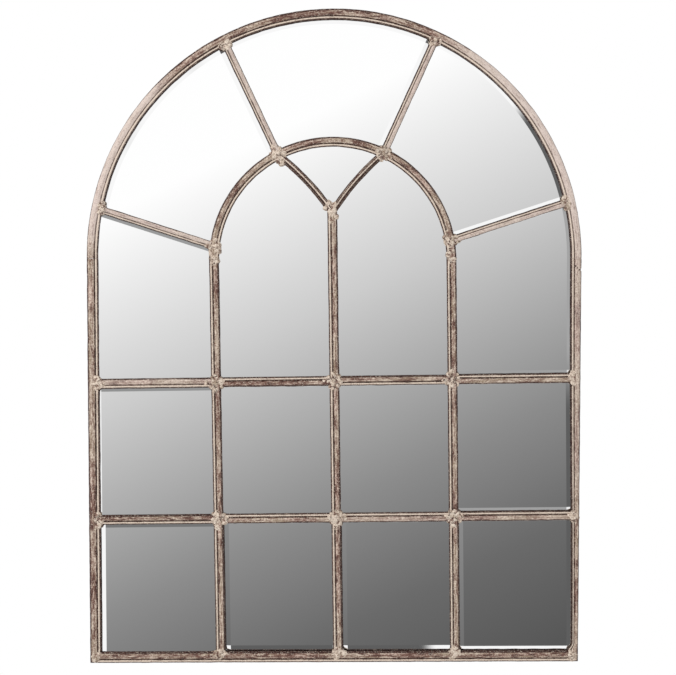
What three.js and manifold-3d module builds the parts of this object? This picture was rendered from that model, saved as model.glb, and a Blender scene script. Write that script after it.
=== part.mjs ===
// Arched window mirror: a welded and painted iron window frame with sixteen bevelled mirror panes.
// Millimetres, +Z up, the mirror faces -Y and hangs with its back edges on the plane y = 0.
// Heights are laid out from the foot of the frame. The finished group is lowered so that its
// origin lies midway between the two points that rest on the wall screws.
import * as THREE from "three";
import { mergeVertices } from "three/addons/utils/BufferGeometryUtils.js";
import Module from "manifold-3d";

const wasm = await Module();
wasm.setup();
const { Manifold, Mesh } = wasm;

// ---- Overall sizes ----
const WIDTH = 900;
const SPRING_HEIGHT = 745; // centre of the outer arch above the foot
const JOINT_GAP = 0.3; // clearance left between pieces that touch or are welded

// ---- Depths, measured out from the wall ----
const BOARD_BACK = 8.4; // hollow behind the board, where the wall screws' heads sit
const BOARD_THICKNESS = 3;
const GLASS_THICKNESS = 4;
const GLASS_BACK = BOARD_BACK + BOARD_THICKNESS + JOINT_GAP;
const GLASS_FRONT = GLASS_BACK + GLASS_THICKNESS;

// ---- Panes ----
const PANE_LAP = 3.8; // glass hidden behind each moulded face
const PANE_BEVEL = 8.5;
const PANE_EDGE = 2; // thickness left at the edge of the bevel
const PANE_FALL = GLASS_THICKNESS - PANE_EDGE; // how far the bevel falls across its width
// The edge of a moulded face bears on the slope of the bevel, a little behind the front of the glass.
const BEARING = GLASS_BACK + PANE_EDGE + (PANE_FALL * PANE_LAP) / PANE_BEVEL;
const FACE_BACK = BEARING + JOINT_GAP; // back of every moulded face

// ---- Moulded face, heights from its back ----
const ARRIS_RISE = 1.6; // square edge of a moulded face
const ARRIS_WIDTH = 1.6;
const SHOULDER_RISE = 3.2;
const HOLLOW_RISE = 3.7; // bottom of the hollow between shoulder and crest
const CREST_FOOT_RISE = 4.3;
const CREST_ROUND = 0.5; // how far the crest falls away on each side of its top
const CREST_RISE = 6;
const CREST_HALF = 2.6;
const PAST_CREST = FACE_BACK + CREST_RISE + 5; // in front of everything that is cut

// ---- Frame channel ----
const FRAME_FACE = 21;
const FRAME_LIP = 7.5; // the part of the face that overhangs the glass
const FRAME_WALL = 2.5;
const FRAME_CREST = -2; // the crest lies nearer the glass than the middle of the face
const R_FRAME = WIDTH / 2 - FRAME_FACE / 2; // middle line of the frame channel
const X_FRAME = R_FRAME;
const FOOT_LINE = FRAME_FACE / 2;
const R_INNER_WALL = WIDTH / 2 - FRAME_FACE + FRAME_LIP;

// ---- Glazing bars ----
const BAR_FACE = 18;
const BAR_WEB = 2; // stands between two panes

// ---- Lattice, set by hand: a little off centre, leaning and climbing to the right ----
const BAY = 216; // spacing of the mullions and radius of the inner arch
const LATTICE_X = -3;
const MULLION_LEAN = 9.5; // how far right of its head each mullion stands at the foot
const INNER_SPRING = SPRING_HEIGHT - 5;
const LOWER_RAIL = 269;
const LOWER_RAIL_CLIMB = 6.6; // rise across the full width
const UPPER_RAIL = 521;
const UPPER_RAIL_CLIMB = 10;
const FORK_RISE = 88; // from the inner spring to where the centre mullion forks
const FORK_HEIGHT = INNER_SPRING + FORK_RISE;
const ARM_BOW = 5.5; // sagitta of a tracery arm

// Each spoke runs from an angle on the inner arch to an angle on the outer arch.
const SPOKES = [
  { name: "spoke_low_left", inner: 172.8, outer: 168.1 },
  { name: "spoke_high_left", inner: 117.2, outer: 116.9 },
  { name: "spoke_high_right", inner: 64.7, outer: 65.2 },
  { name: "spoke_low_right", inner: 9.8, outer: 13.5 },
];

// ---- Weld knots ----
const KNOT_BACK = GLASS_FRONT + JOINT_GAP; // they spread over the corners of the panes
const KNOT_RISE = CREST_RISE + 0.7; // knots stand a little proud of the crests
const KNOT_WIDE = BAR_FACE / 2 + 4.5; // at crossings
const KNOT_SMALL = BAR_FACE / 2 + 1.5; // at the ends of bars
const KNOT_FLAT = 6; // at butt joints

// ---- Back ----
const BOARD_PLAY = 1;
const TAB_WIDTH = 18;
const TAB_REACH = 24;
const TAB_THICKNESS = 1.5;
const TAB_INSET = 120; // from the ends of a stile to its first and last tab
const HANGER_X = 220;
const HANGER_WIDTH = 44;
const HANGER_THICKNESS = 2;
const HANGER_COVER = 10; // metal over the slot at the plate's outer corner
const HANGER_MARGIN = 7.5; // metal below the entry hole
const SLOT_HALF = 3;
const SLOT_DROP = 11; // from the resting point down to the entry hole
const ENTRY_RADIUS = 5.5;
// Where the wall screws' shanks rest, at the top of the slots.
const HANGER_HEIGHT =
  SPRING_HEIGHT + Math.sqrt(R_INNER_WALL ** 2 - (HANGER_X + HANGER_WIDTH / 2) ** 2) - HANGER_COVER;

const ARC_SAG = 0.25; // how far a bent bar's facets may stray from its true curve
const at = (x, z) => new THREE.Vector2(x, z);
const onCircle = (centre, radius, degrees) => {
  const a = THREE.MathUtils.degToRad(degrees);
  return at(centre.x + radius * Math.cos(a), centre.y + radius * Math.sin(a));
};
const OUTER_CENTRE = at(0, SPRING_HEIGHT);
const INNER_CENTRE = at(LATTICE_X, INNER_SPRING);

// ---------------------------------------------------------------- solids

// Closed triangles, in part coordinates, as a solid that faces outwards.
function solidFrom(positions, faces) {
  let signed = 0;
  const point = (i) => new THREE.Vector3().fromArray(positions, 3 * i);
  for (const [a, b, c] of faces) {
    signed += point(a).dot(point(b).cross(point(c)));
  }
  const outward = signed > 0 ? faces : faces.map(([a, b, c]) => [a, c, b]);
  return new Manifold(
    new Mesh({
      numProp: 3,
      vertProperties: new Float32Array(positions),
      triVerts: new Uint32Array(outward.flat()),
    }),
  );
}

// Caps are triangulated in one turning sense, so every outline is given that sense first.
const counterClockwise = (outline) =>
  THREE.ShapeUtils.isClockWise(outline) ? outline.slice().reverse() : outline;

// Carries a profile of [across, out] points along stations of a line in the wall plane.
function sweep(profilePoints, stations) {
  const outline = counterClockwise(profilePoints.map(([across, out]) => at(across, out)));
  const positions = [];
  for (const { point, side } of stations) {
    for (const { x: across, y: out } of outline) {
      positions.push(point.x + side.x * across, -out, point.y + side.y * across);
    }
  }
  const n = outline.length;
  const faces = [];
  for (let s = 0; s + 1 < stations.length; s++) {
    for (let i = 0; i < n; i++) {
      const a = s * n + i;
      const b = s * n + ((i + 1) % n);
      faces.push([a, b, b + n], [a, b + n, a + n]);
    }
  }
  const last = (stations.length - 1) * n;
  for (const [a, b, c] of THREE.ShapeUtils.triangulateShape(outline, [])) {
    faces.push([a, c, b], [last + a, last + b, last + c]);
  }
  return solidFrom(positions, faces);
}

function arcPath(centre, radius, from, to) {
  const facet = THREE.MathUtils.radToDeg(2 * Math.acos(1 - ARC_SAG / radius));
  const steps = Math.ceil(Math.abs(to - from) / facet);
  return Array.from({ length: steps + 1 }, (_, i) => {
    const point = onCircle(centre, radius, from + ((to - from) * i) / steps);
    return { point, side: point.clone().sub(centre).normalize() };
  });
}

function linePath(from, to) {
  const along = to.clone().sub(from).normalize();
  const side = at(along.y, -along.x);
  return [
    { point: from, side },
    { point: to, side },
  ];
}

// A shallow arc between two points; a positive bow swells towards the side of the line path.
function bowedPath(from, to, bow) {
  const [{ side }] = linePath(from, to);
  const half = from.distanceTo(to) / 2;
  const radius = (half * half + bow * bow) / (2 * Math.abs(bow));
  const middle = from.clone().add(to).multiplyScalar(0.5);
  const centre = middle.addScaledVector(side, Math.sign(bow) * (Math.abs(bow) - radius));
  const steps = 10;
  return Array.from({ length: steps + 1 }, (_, i) => {
    const chord = from.clone().lerp(to, i / steps).sub(centre).normalize();
    const point = centre.clone().addScaledVector(chord, radius);
    return { point, side: chord.multiplyScalar(Math.sign(bow)) };
  });
}

// Extrudes an outline of points in the wall plane between two distances from the wall.
function slab(points, outBack, outFront) {
  const outline = counterClockwise(points);
  const n = outline.length;
  const positions = [];
  for (const out of [outBack, outFront]) {
    for (const p of outline) {
      positions.push(p.x, -out, p.y);
    }
  }
  const faces = [];
  for (let i = 0; i < n; i++) {
    const j = (i + 1) % n;
    faces.push([i, j, j + n], [i, j + n, i + n]);
  }
  for (const [a, b, c] of THREE.ShapeUtils.triangulateShape(outline, [])) {
    faces.push([a, c, b], [a + n, b + n, c + n]);
  }
  return solidFrom(positions, faces);
}

const rectangle = (x0, z0, x1, z1) => [at(x0, z0), at(x1, z0), at(x1, z1), at(x0, z1)];

// Outline of the arch shape whose half width is half and whose foot is at foot.
function archOutline(half, foot) {
  const arc = arcPath(OUTER_CENTRE, half, 0, 180).map(({ point }) => point);
  return [at(-half, foot), at(half, foot), ...arc];
}

// ---------------------------------------------------------------- profiles

// The moulded face from its left arris over the crest to its right arris.
function mouldedFace(left, right, crest) {
  const half = (edge, sign) => [
    [edge, FACE_BACK + ARRIS_RISE],
    [edge + sign * ARRIS_WIDTH, FACE_BACK + SHOULDER_RISE],
    [(edge + sign * ARRIS_WIDTH + crest - sign * CREST_HALF) / 2, FACE_BACK + HOLLOW_RISE],
    [crest - sign * CREST_HALF, FACE_BACK + CREST_FOOT_RISE],
    [crest - (sign * CREST_HALF) / 2, FACE_BACK + CREST_RISE - CREST_ROUND],
  ];
  return [...half(left, 1), [crest, FACE_BACK + CREST_RISE], ...half(right, -1).reverse()];
}

// Glazing bar: moulded face with a thin web that stands between two panes.
const barProfile = [
  ...mouldedFace(-BAR_FACE / 2, BAR_FACE / 2, 0),
  [BAR_FACE / 2, FACE_BACK],
  [BAR_WEB / 2, FACE_BACK],
  [BAR_WEB / 2, GLASS_BACK],
  [-BAR_WEB / 2, GLASS_BACK],
  [-BAR_WEB / 2, FACE_BACK],
  [-BAR_FACE / 2, FACE_BACK],
];

// Frame channel, open to the wall; positive across is the outside of the frame.
const innerWall = -FRAME_FACE / 2 + FRAME_LIP;
const frameProfile = [
  ...mouldedFace(-FRAME_FACE / 2, FRAME_FACE / 2, FRAME_CREST),
  [FRAME_FACE / 2, 0],
  [FRAME_FACE / 2 - FRAME_WALL, 0],
  [FRAME_FACE / 2 - FRAME_WALL, FACE_BACK],
  [innerWall + FRAME_WALL, FACE_BACK],
  [innerWall + FRAME_WALL, 0],
  [innerWall, 0],
  [innerWall, FACE_BACK],
  [-FRAME_FACE / 2, FACE_BACK],
];

// Everything a bar takes up, with the joint gap: cut from the pieces that butt against it.
const keepClear = (face) => [
  [-face / 2 - JOINT_GAP, -1],
  [face / 2 + JOINT_GAP, -1],
  [face / 2 + JOINT_GAP, PAST_CREST],
  [-face / 2 - JOINT_GAP, PAST_CREST],
];

// The space between two panes: straight at their backs, then widening along both bevels.
function grooveProfile(face) {
  const edge = face / 2 - PANE_LAP;
  const past = 1.1; // carries the slope of the bevel past the front of the glass
  const slopeOut = GLASS_FRONT - PANE_FALL * (1 - past);
  const slopeEdge = edge + PANE_BEVEL * past;
  return [
    [-edge, GLASS_BACK - 1],
    [edge, GLASS_BACK - 1],
    [edge, GLASS_BACK + PANE_EDGE],
    [slopeEdge, slopeOut],
    [-slopeEdge, slopeOut],
    [-edge, GLASS_BACK + PANE_EDGE],
  ];
}

// ---------------------------------------------------------------- weld knots

// A lump of weld and filler on the face, cut flat just clear of the glass. grow makes its cutter.
function knot({ x, z, rx, rz, seed }, grow = 0) {
  const round = mergeVertices(
    new THREE.IcosahedronGeometry(1, 2).deleteAttribute("normal").deleteAttribute("uv"),
    1e-4,
  );
  const p = round.getAttribute("position");
  const positions = [];
  for (let i = 0; i < p.count; i++) {
    const [a, b, c] = [p.getX(i), p.getY(i), p.getZ(i)];
    const rough =
      1 +
      0.07 * Math.sin(4 * a + 3.1 * seed) * Math.cos(4 * c + 1.7 * seed) +
      0.05 * Math.sin(7 * a - 5 * c + 2.3 * seed);
    positions.push(
      x + a * (rx * rough + grow),
      -FACE_BACK + b * (KNOT_RISE * rough + grow),
      z + c * (rz * rough + grow),
    );
  }
  const index = Array.from(round.index.array);
  const faces = [];
  for (let i = 0; i < index.length; i += 3) {
    faces.push(index.slice(i, i + 3));
  }
  return solidFrom(positions, faces).trimByPlane([0, -1, 0], KNOT_BACK - grow);
}

const union = (solids) => Manifold.union(solids);
const withKnots = (bar, knots) => union([bar, ...knots.map((k) => knot(k))]);
const cutters = (knots) => knots.map((k) => knot(k, JOINT_GAP));

// ---------------------------------------------------------------- lattice lines

const mullionX = (column, z) =>
  LATTICE_X + column * BAY + (MULLION_LEAN * (INNER_SPRING - z)) / INNER_SPRING;
const railZ = (middle, climb, x) => middle + (climb * x) / WIDTH;
const RAILS = [
  { name: "rail_lower", middle: LOWER_RAIL, climb: LOWER_RAIL_CLIMB },
  { name: "rail_upper", middle: UPPER_RAIL, climb: UPPER_RAIL_CLIMB },
];
const MULLIONS = [
  { name: "mullion_left", column: -1, top: INNER_SPRING },
  { name: "mullion_centre", column: 0, top: FORK_HEIGHT },
  { name: "mullion_right", column: 1, top: INNER_SPRING },
];
const mullionPath = ({ column, top }, foot, extra) =>
  linePath(at(mullionX(column, foot), foot), at(mullionX(column, top + extra), top + extra));
const railPath = ({ middle, climb }) =>
  linePath(
    at(-X_FRAME, railZ(middle, climb, -X_FRAME)),
    at(X_FRAME, railZ(middle, climb, X_FRAME)),
  );
const spokePath = ({ inner, outer }) =>
  linePath(onCircle(INNER_CENTRE, BAY, inner), onCircle(OUTER_CENTRE, R_FRAME, outer));
const forkPoint = at(mullionX(0, FORK_HEIGHT), FORK_HEIGHT);
const armPath = (spoke, side) =>
  bowedPath(forkPoint, onCircle(INNER_CENTRE, BAY, spoke.inner), -side * ARM_BOW);
const innerArchPath = arcPath(INNER_CENTRE, BAY, 0, 180);

// The two mitred corners: the channel's across direction runs along the diagonal there.
const cornerSide = (sign) => at(sign, -1);
const mitreGap = JOINT_GAP * Math.SQRT1_2;
const stilePath = (sign) => [
  { point: at(sign * X_FRAME, FOOT_LINE + mitreGap), side: cornerSide(sign) },
  { point: at(sign * X_FRAME, SPRING_HEIGHT - JOINT_GAP), side: at(sign, 0) },
];
const footPath = [
  { point: at(-X_FRAME + mitreGap, FOOT_LINE), side: cornerSide(-1) },
  { point: at(X_FRAME - mitreGap, FOOT_LINE), side: cornerSide(1) },
];
const outerArchPath = arcPath(OUTER_CENTRE, R_FRAME, 0, 180);

// Where each knot sits, grouped by the piece that carries it.
const big = (p, seed) => ({ x: p.x, z: p.y, rx: KNOT_WIDE, rz: KNOT_WIDE, seed });
const small = (p, seed) => ({ x: p.x, z: p.y, rx: KNOT_SMALL, rz: KNOT_SMALL, seed });
const stileEdge = WIDTH / 2 - FRAME_FACE + KNOT_SMALL / 2;
const stileKnots = (sign) =>
  RAILS.map(({ middle, climb }, i) =>
    small(at(sign * stileEdge, railZ(middle, climb, sign * stileEdge)), 3 + i + sign),
  );
const footKnots = MULLIONS.map(({ column }, i) =>
  small(at(mullionX(column, FOOT_LINE), FRAME_FACE - 4), 11 + i),
);
const mullionKnots = ({ column }) =>
  RAILS.map(({ middle, climb }, i) => {
    const z = railZ(middle, climb, mullionX(column, middle));
    return big(at(mullionX(column, z), z), 20 + 3 * column + i);
  });
const innerArchKnots = SPOKES.map((spoke, i) =>
  big(onCircle(INNER_CENTRE, BAY, spoke.inner), 30 + i),
);
const outerArchKnots = SPOKES.map((spoke, i) =>
  small(onCircle(OUTER_CENTRE, R_FRAME - FRAME_FACE / 3, spoke.outer), 40 + i),
);
const forkKnot = { x: forkPoint.x, z: forkPoint.y + 4, rx: 11, rz: 17, seed: 51 };
const springKnots = [-1, 1].map((side, i) => ({
  x: INNER_CENTRE.x + side * BAY,
  z: INNER_SPRING + 5,
  rx: KNOT_SMALL - 1,
  rz: KNOT_FLAT,
  seed: 60 + i,
}));
const cornerKnots = [-1, 1].map((side, i) => ({
  x: side * (X_FRAME - FRAME_FACE / 4),
  z: FOOT_LINE + FRAME_FACE / 4,
  rx: KNOT_FLAT,
  rz: KNOT_FLAT,
  seed: 70 + i,
}));

// ---------------------------------------------------------------- the bars

const pieces = [];
const iron = new THREE.MeshStandardMaterial({ color: 0xc4b3a1, roughness: 0.75, name: "iron" });
const glass = new THREE.MeshStandardMaterial({
  color: 0xdde2e2,
  roughness: 0.05,
  metalness: 1,
  name: "mirror",
});
const hardboard = new THREE.MeshStandardMaterial({ color: 0x7a5b3e, name: "board" });
const steel = new THREE.MeshStandardMaterial({
  color: 0x8f9094,
  roughness: 0.5,
  metalness: 1,
  name: "steel",
});
const keep = (name, solid, material) => pieces.push({ name, solid, material });

// Frame channel: arch, two stiles and the foot rail.
const outerArch = withKnots(sweep(frameProfile, outerArchPath), outerArchKnots);
const cornerCutters = cutters(cornerKnots);
const stiles = [-1, 1].map((sign) => {
  const channel = sweep(frameProfile, stilePath(sign));
  return union([channel, ...stileKnots(sign).map((k) => knot(k))]).subtract(union(cornerCutters));
});
const foot = withKnots(sweep(frameProfile, footPath), [...footKnots, ...cornerKnots]);
keep("outer_arch", outerArch, iron);
keep("stile_left", stiles[0], iron);
keep("stile_right", stiles[1], iron);
keep("foot_rail", foot, iron);

const frameClear = union([
  sweep(keepClear(FRAME_FACE), outerArchPath),
  ...[-1, 1].map((sign) =>
    sweep(keepClear(FRAME_FACE), linePath(at(sign * X_FRAME, 0), at(sign * X_FRAME, SPRING_HEIGHT + 1))),
  ),
  sweep(keepClear(FRAME_FACE), linePath(at(-X_FRAME, FOOT_LINE), at(X_FRAME, FOOT_LINE))),
  ...cutters([...outerArchKnots, ...stileKnots(-1), ...stileKnots(1), ...footKnots]),
]);

// Inner arch, standing on the heads of the outer two mullions.
const innerArch = withKnots(sweep(barProfile, innerArchPath), [...innerArchKnots, ...springKnots]);
keep("inner_arch", innerArch, iron);
const innerArchClear = union([
  sweep(keepClear(BAR_FACE), innerArchPath),
  ...[-1, 1].map((side) => {
    const foot = at(INNER_CENTRE.x + side * BAY, INNER_SPRING);
    return sweep(keepClear(BAR_FACE), linePath(foot.clone().setY(foot.y - JOINT_GAP), foot));
  }),
  ...cutters([...innerArchKnots, ...springKnots]),
]);

// Mullions run the full height, from the foot rail to the inner arch or the fork.
const knotsOf = (mullion) => mullionKnots(mullion).concat(mullion.column === 0 ? forkKnot : []);
for (const mullion of MULLIONS) {
  const bar = sweep(barProfile, mullionPath(mullion, FOOT_LINE, 0));
  const clear = union([frameClear, innerArchClear]);
  keep(mullion.name, withKnots(bar.subtract(clear), knotsOf(mullion)), iron);
}
const mullionClear = union(
  MULLIONS.flatMap((mullion) => [
    sweep(keepClear(BAR_FACE), mullionPath(mullion, FOOT_LINE, JOINT_GAP)),
    ...cutters(knotsOf(mullion)),
  ]),
);

// Rails fill the bays between the stiles and the mullions.
const centreX = (solid) => {
  const { min, max } = solid.boundingBox();
  return (min[0] + max[0]) / 2;
};
const centreZ = (solid) => {
  const { min, max } = solid.boundingBox();
  return (min[2] + max[2]) / 2;
};
for (const rail of RAILS) {
  const bays = sweep(barProfile, railPath(rail))
    .subtract(union([frameClear, mullionClear]))
    .decompose()
    .sort((a, b) => centreX(a) - centreX(b));
  bays.forEach((bay, i) => keep(`${rail.name}_${i + 1}`, bay, iron));
}

// Spokes from the inner arch to the outer arch.
for (const spoke of SPOKES) {
  const bar = sweep(barProfile, spokePath(spoke));
  keep(spoke.name, bar.subtract(union([frameClear, innerArchClear])), iron);
}

// Tracery arms from the fork to the feet of the two high spokes, parted on the middle line.
const ARMS = [
  { name: "arm_left", spoke: SPOKES[1], side: -1 },
  { name: "arm_right", spoke: SPOKES[2], side: 1 },
];
for (const { name, spoke, side } of ARMS) {
  const half = forkPoint.x + (side * JOINT_GAP) / 2;
  const far = forkPoint.x + side * BAY;
  const ownHalf = slab(
    rectangle(Math.min(half, far), 0, Math.max(half, far), INNER_SPRING + BAY),
    0,
    PAST_CREST,
  );
  const bar = sweep(barProfile, armPath(spoke, side)).intersect(ownHalf);
  keep(name, bar.subtract(union([innerArchClear, mullionClear])), iron);
}

// ---------------------------------------------------------------- the panes

// One blank of glass, cut along the middle line of every bar.
const blank = slab(archOutline(R_FRAME, FOOT_LINE), GLASS_BACK, GLASS_FRONT);
const frameGroove = grooveProfile(FRAME_FACE);
const barGroove = grooveProfile(BAR_FACE);
const grooves = union([
  sweep(frameGroove, outerArchPath),
  ...[-1, 1].map((sign) =>
    sweep(frameGroove, linePath(at(sign * X_FRAME, 0), at(sign * X_FRAME, SPRING_HEIGHT + 1))),
  ),
  sweep(frameGroove, linePath(at(-X_FRAME, FOOT_LINE), at(X_FRAME, FOOT_LINE))),
  sweep(barGroove, innerArchPath),
  ...MULLIONS.map((mullion) => sweep(barGroove, mullionPath(mullion, FOOT_LINE, 1))),
  ...RAILS.map((rail) => sweep(barGroove, railPath(rail))),
  ...SPOKES.map((spoke) => sweep(barGroove, spokePath(spoke))),
  ...ARMS.map(({ spoke, side }) => sweep(barGroove, armPath(spoke, side))),
]);
const bayX = (column) => LATTICE_X + column * BAY;
const PANES = [
  ...[-1.5, -0.5, 0.5, 1.5].flatMap((column, i) => [
    { name: `pane_bottom_${i + 1}`, x: bayX(column), z: LOWER_RAIL / 2 },
    { name: `pane_middle_${i + 1}`, x: bayX(column), z: (LOWER_RAIL + UPPER_RAIL) / 2 },
    { name: `pane_tall_${i + 1}`, x: bayX(column), z: (UPPER_RAIL + FORK_HEIGHT) / 2 },
  ]),
  { name: "pane_tracery", x: bayX(0), z: FORK_HEIGHT + BAY / 2 },
  { name: "pane_fan_left", x: bayX(-1.4), z: SPRING_HEIGHT + BAY },
  { name: "pane_fan_top", x: bayX(0), z: SPRING_HEIGHT + 1.5 * BAY },
  { name: "pane_fan_right", x: bayX(1.4), z: SPRING_HEIGHT + BAY },
];
const cut = blank.subtract(grooves).decompose();
for (const { name, x, z } of PANES) {
  const off = (solid) => Math.hypot(centreX(solid) - x, centreZ(solid) - z);
  const [nearest] = cut.sort((a, b) => off(a) - off(b));
  keep(name, cut.splice(cut.indexOf(nearest), 1)[0], glass);
}

// ---------------------------------------------------------------- the back

const boardFoot = FRAME_FACE - FRAME_LIP + BOARD_PLAY;
const board = slab(
  archOutline(R_INNER_WALL - BOARD_PLAY, boardFoot),
  BOARD_BACK,
  BOARD_BACK + BOARD_THICKNESS,
);
keep("backing_board", board, hardboard);

// Bent tab welded inside the channel wall; its foot lies on the back of the board.
const TAB_OUT = BOARD_BACK - JOINT_GAP;
const tabSide = [
  [JOINT_GAP, 1],
  [JOINT_GAP + TAB_THICKNESS, 1],
  [JOINT_GAP + TAB_THICKNESS, TAB_OUT - TAB_THICKNESS],
  [TAB_REACH, TAB_OUT - TAB_THICKNESS],
  [TAB_REACH, TAB_OUT],
  [JOINT_GAP, TAB_OUT],
];
const TABS = [
  ...[TAB_INSET, SPRING_HEIGHT / 2, SPRING_HEIGHT - TAB_INSET].flatMap((z, i) => [
    { name: `tab_left_${i + 1}`, wall: at(-R_INNER_WALL, z), inward: at(1, 0) },
    { name: `tab_right_${i + 1}`, wall: at(R_INNER_WALL, z), inward: at(-1, 0) },
  ]),
  ...[-1, 1].map((side, i) => ({
    name: `tab_foot_${i + 1}`,
    wall: at((side * WIDTH) / 4, FRAME_FACE - FRAME_LIP),
    inward: at(0, 1),
  })),
  ...[145, 90, 35].map((angle, i) => ({
    name: `tab_arch_${i + 1}`,
    wall: onCircle(OUTER_CENTRE, R_INNER_WALL - ARC_SAG, angle),
    inward: onCircle(at(0, 0), -1, angle),
  })),
];
for (const { name, wall, inward } of TABS) {
  const along = at(-inward.y, inward.x);
  const stations = [-1, 1].map((end) => ({
    point: wall.clone().addScaledVector(along, (end * TAB_WIDTH) / 2),
    side: inward,
  }));
  keep(name, sweep(tabSide, stations), steel);
}

// Hanger plate welded inside the arch, flush with the back, with a keyhole over a wall screw.
for (const [side, name] of [
  [-1, "hanger_left"],
  [1, "hanger_right"],
]) {
  const x = side * HANGER_X;
  const strip = rectangle(
    x - HANGER_WIDTH / 2,
    HANGER_HEIGHT - SLOT_DROP - ENTRY_RADIUS - HANGER_MARGIN,
    x + HANGER_WIDTH / 2,
    SPRING_HEIGHT + R_FRAME,
  );
  const inside = R_INNER_WALL - JOINT_GAP - ARC_SAG;
  const disc = (radius, out) =>
    slab(arcPath(OUTER_CENTRE, radius, 0, 357).map(({ point }) => point), JOINT_GAP, out);
  const plate = slab(strip, JOINT_GAP, JOINT_GAP + HANGER_THICKNESS).intersect(
    disc(inside, TAB_OUT),
  );
  const wallLeg = slab(strip, JOINT_GAP, TAB_OUT).intersect(
    disc(inside, TAB_OUT).subtract(disc(inside - HANGER_THICKNESS, TAB_OUT + 1)),
  );
  const resting = at(x, HANGER_HEIGHT - SLOT_HALF);
  const round = (centre, radius) =>
    Array.from({ length: 24 }, (_, i) => onCircle(centre, radius, i * 15));
  const through = [-1, JOINT_GAP + HANGER_THICKNESS + 1];
  const keyhole = union([
    slab(round(resting, SLOT_HALF), ...through),
    slab(round(at(x, HANGER_HEIGHT - SLOT_DROP), ENTRY_RADIUS), ...through),
    slab(
      rectangle(x - SLOT_HALF, HANGER_HEIGHT - SLOT_DROP, x + SLOT_HALF, resting.y),
      ...through,
    ),
  ]);
  keep(name, union([plate, wallLeg]).subtract(keyhole), steel);
}

// ---------------------------------------------------------------- the group

const mirror = new THREE.Group();
mirror.name = "arched_window_mirror";
for (const { name, solid, material } of pieces) {
  const made = solid.getMesh();
  const stride = made.numProp;
  const positions = new Float32Array(made.numVert * 3);
  for (let i = 0; i < made.numVert; i++) {
    positions.set(made.vertProperties.subarray(i * stride, i * stride + 3), i * 3);
  }
  const geometry = new THREE.BufferGeometry();
  geometry.setAttribute("position", new THREE.BufferAttribute(positions, 3));
  geometry.setIndex(new THREE.BufferAttribute(new Uint32Array(made.triVerts), 1));
  geometry.computeVertexNormals();
  const mesh = new THREE.Mesh(geometry, material);
  mesh.name = name;
  mesh.position.z = -HANGER_HEIGHT;
  mirror.add(mesh);
}

export default mirror;
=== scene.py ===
# %% [markdown]
# # An arched window mirror
# The real object is a wall mirror made like an iron church window. Moulded iron bars are
# welded into a lattice, painted cream and rubbed back to the red-brown underneath, and
# sixteen bevelled mirror panes sit behind them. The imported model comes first, and every
# piece made below takes its place from it.

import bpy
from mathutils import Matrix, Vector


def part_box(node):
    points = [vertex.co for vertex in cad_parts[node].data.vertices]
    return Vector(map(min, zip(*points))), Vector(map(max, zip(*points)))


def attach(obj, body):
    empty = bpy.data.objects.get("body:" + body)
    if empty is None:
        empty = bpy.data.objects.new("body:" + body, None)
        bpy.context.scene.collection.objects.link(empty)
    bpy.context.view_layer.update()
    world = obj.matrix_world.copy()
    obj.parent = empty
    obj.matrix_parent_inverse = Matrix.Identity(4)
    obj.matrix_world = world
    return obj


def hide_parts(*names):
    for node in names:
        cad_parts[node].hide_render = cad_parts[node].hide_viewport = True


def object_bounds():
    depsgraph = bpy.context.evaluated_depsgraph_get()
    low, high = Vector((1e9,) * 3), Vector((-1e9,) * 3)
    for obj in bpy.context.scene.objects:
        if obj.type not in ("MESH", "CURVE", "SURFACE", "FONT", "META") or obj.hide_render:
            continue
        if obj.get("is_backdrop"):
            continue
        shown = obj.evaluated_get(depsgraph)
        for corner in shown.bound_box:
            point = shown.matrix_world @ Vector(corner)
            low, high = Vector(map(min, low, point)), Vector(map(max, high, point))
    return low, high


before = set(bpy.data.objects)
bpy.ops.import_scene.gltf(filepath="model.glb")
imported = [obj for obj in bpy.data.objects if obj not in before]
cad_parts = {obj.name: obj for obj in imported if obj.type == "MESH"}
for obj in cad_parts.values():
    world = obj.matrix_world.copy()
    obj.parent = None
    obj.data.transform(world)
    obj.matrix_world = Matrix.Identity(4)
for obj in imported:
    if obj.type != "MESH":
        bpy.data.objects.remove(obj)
cad_low, cad_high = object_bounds()
print("packed nodes:", len(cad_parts))

# %% [markdown]
# ## Places and selection
# A frame maker measures from the foot, in millimetres, so this script does too, and one
# function turns such a place into Blender's metres. Blender's operators act on whatever is
# selected and active, so a second small function makes one piece the only choice.

# %% Modules, places and selection
import math

import bpy
from mathutils import Matrix, Vector

mm = 0.001
FOOT_Z = cad_low.z


def place(x, out, height):
    """A point given in millimetres: across the mirror, out from the wall, up from the foot."""
    return Vector((x * mm, -out * mm, FOOT_Z + height * mm))


def measured(point):
    """The other way round: how far across and how high a point lies, in millimetres."""
    return point.x / mm, (point.z - FOOT_Z) / mm


def work_on(piece, *others):
    """Makes the piece active, and selects it and the others alone."""
    bpy.ops.object.select_all(action="DESELECT")
    for chosen in (piece, *others):
        chosen.select_set(True)
    bpy.context.view_layer.objects.active = piece
    return piece


print("foot of the frame at z =", round(FOOT_Z, 4))

# %% [markdown]
# ## The setting out of the window
# A window maker draws the middle line of every bar first. The lattice was set by hand, so
# its mullions lean a little and its rails climb a little to the right. These are the same
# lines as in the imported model, in millimetres from the foot of the frame.

# %% Setting out
HALF_WIDTH, SPRING = 450, 745
FRAME_FACE, BAR_FACE = 21, 18
R_FRAME = HALF_WIDTH - FRAME_FACE / 2
FACE_BACK, KNOT_BACK, GLASS_BACK = 14.9, 16.0, 11.7

# The inner arch and the mullions under it, leaning to the right toward the foot.
INNER = (-3, 740)
BAY, LEAN = 216, 9.5
MULLIONS = {"mullion_left": -1, "mullion_centre": 0, "mullion_right": 1}

# A rail's height at the middle, and how much it climbs over the full width.
RAILS = {"rail_lower": (269, 6.6), "rail_upper": (521, 10)}

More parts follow.
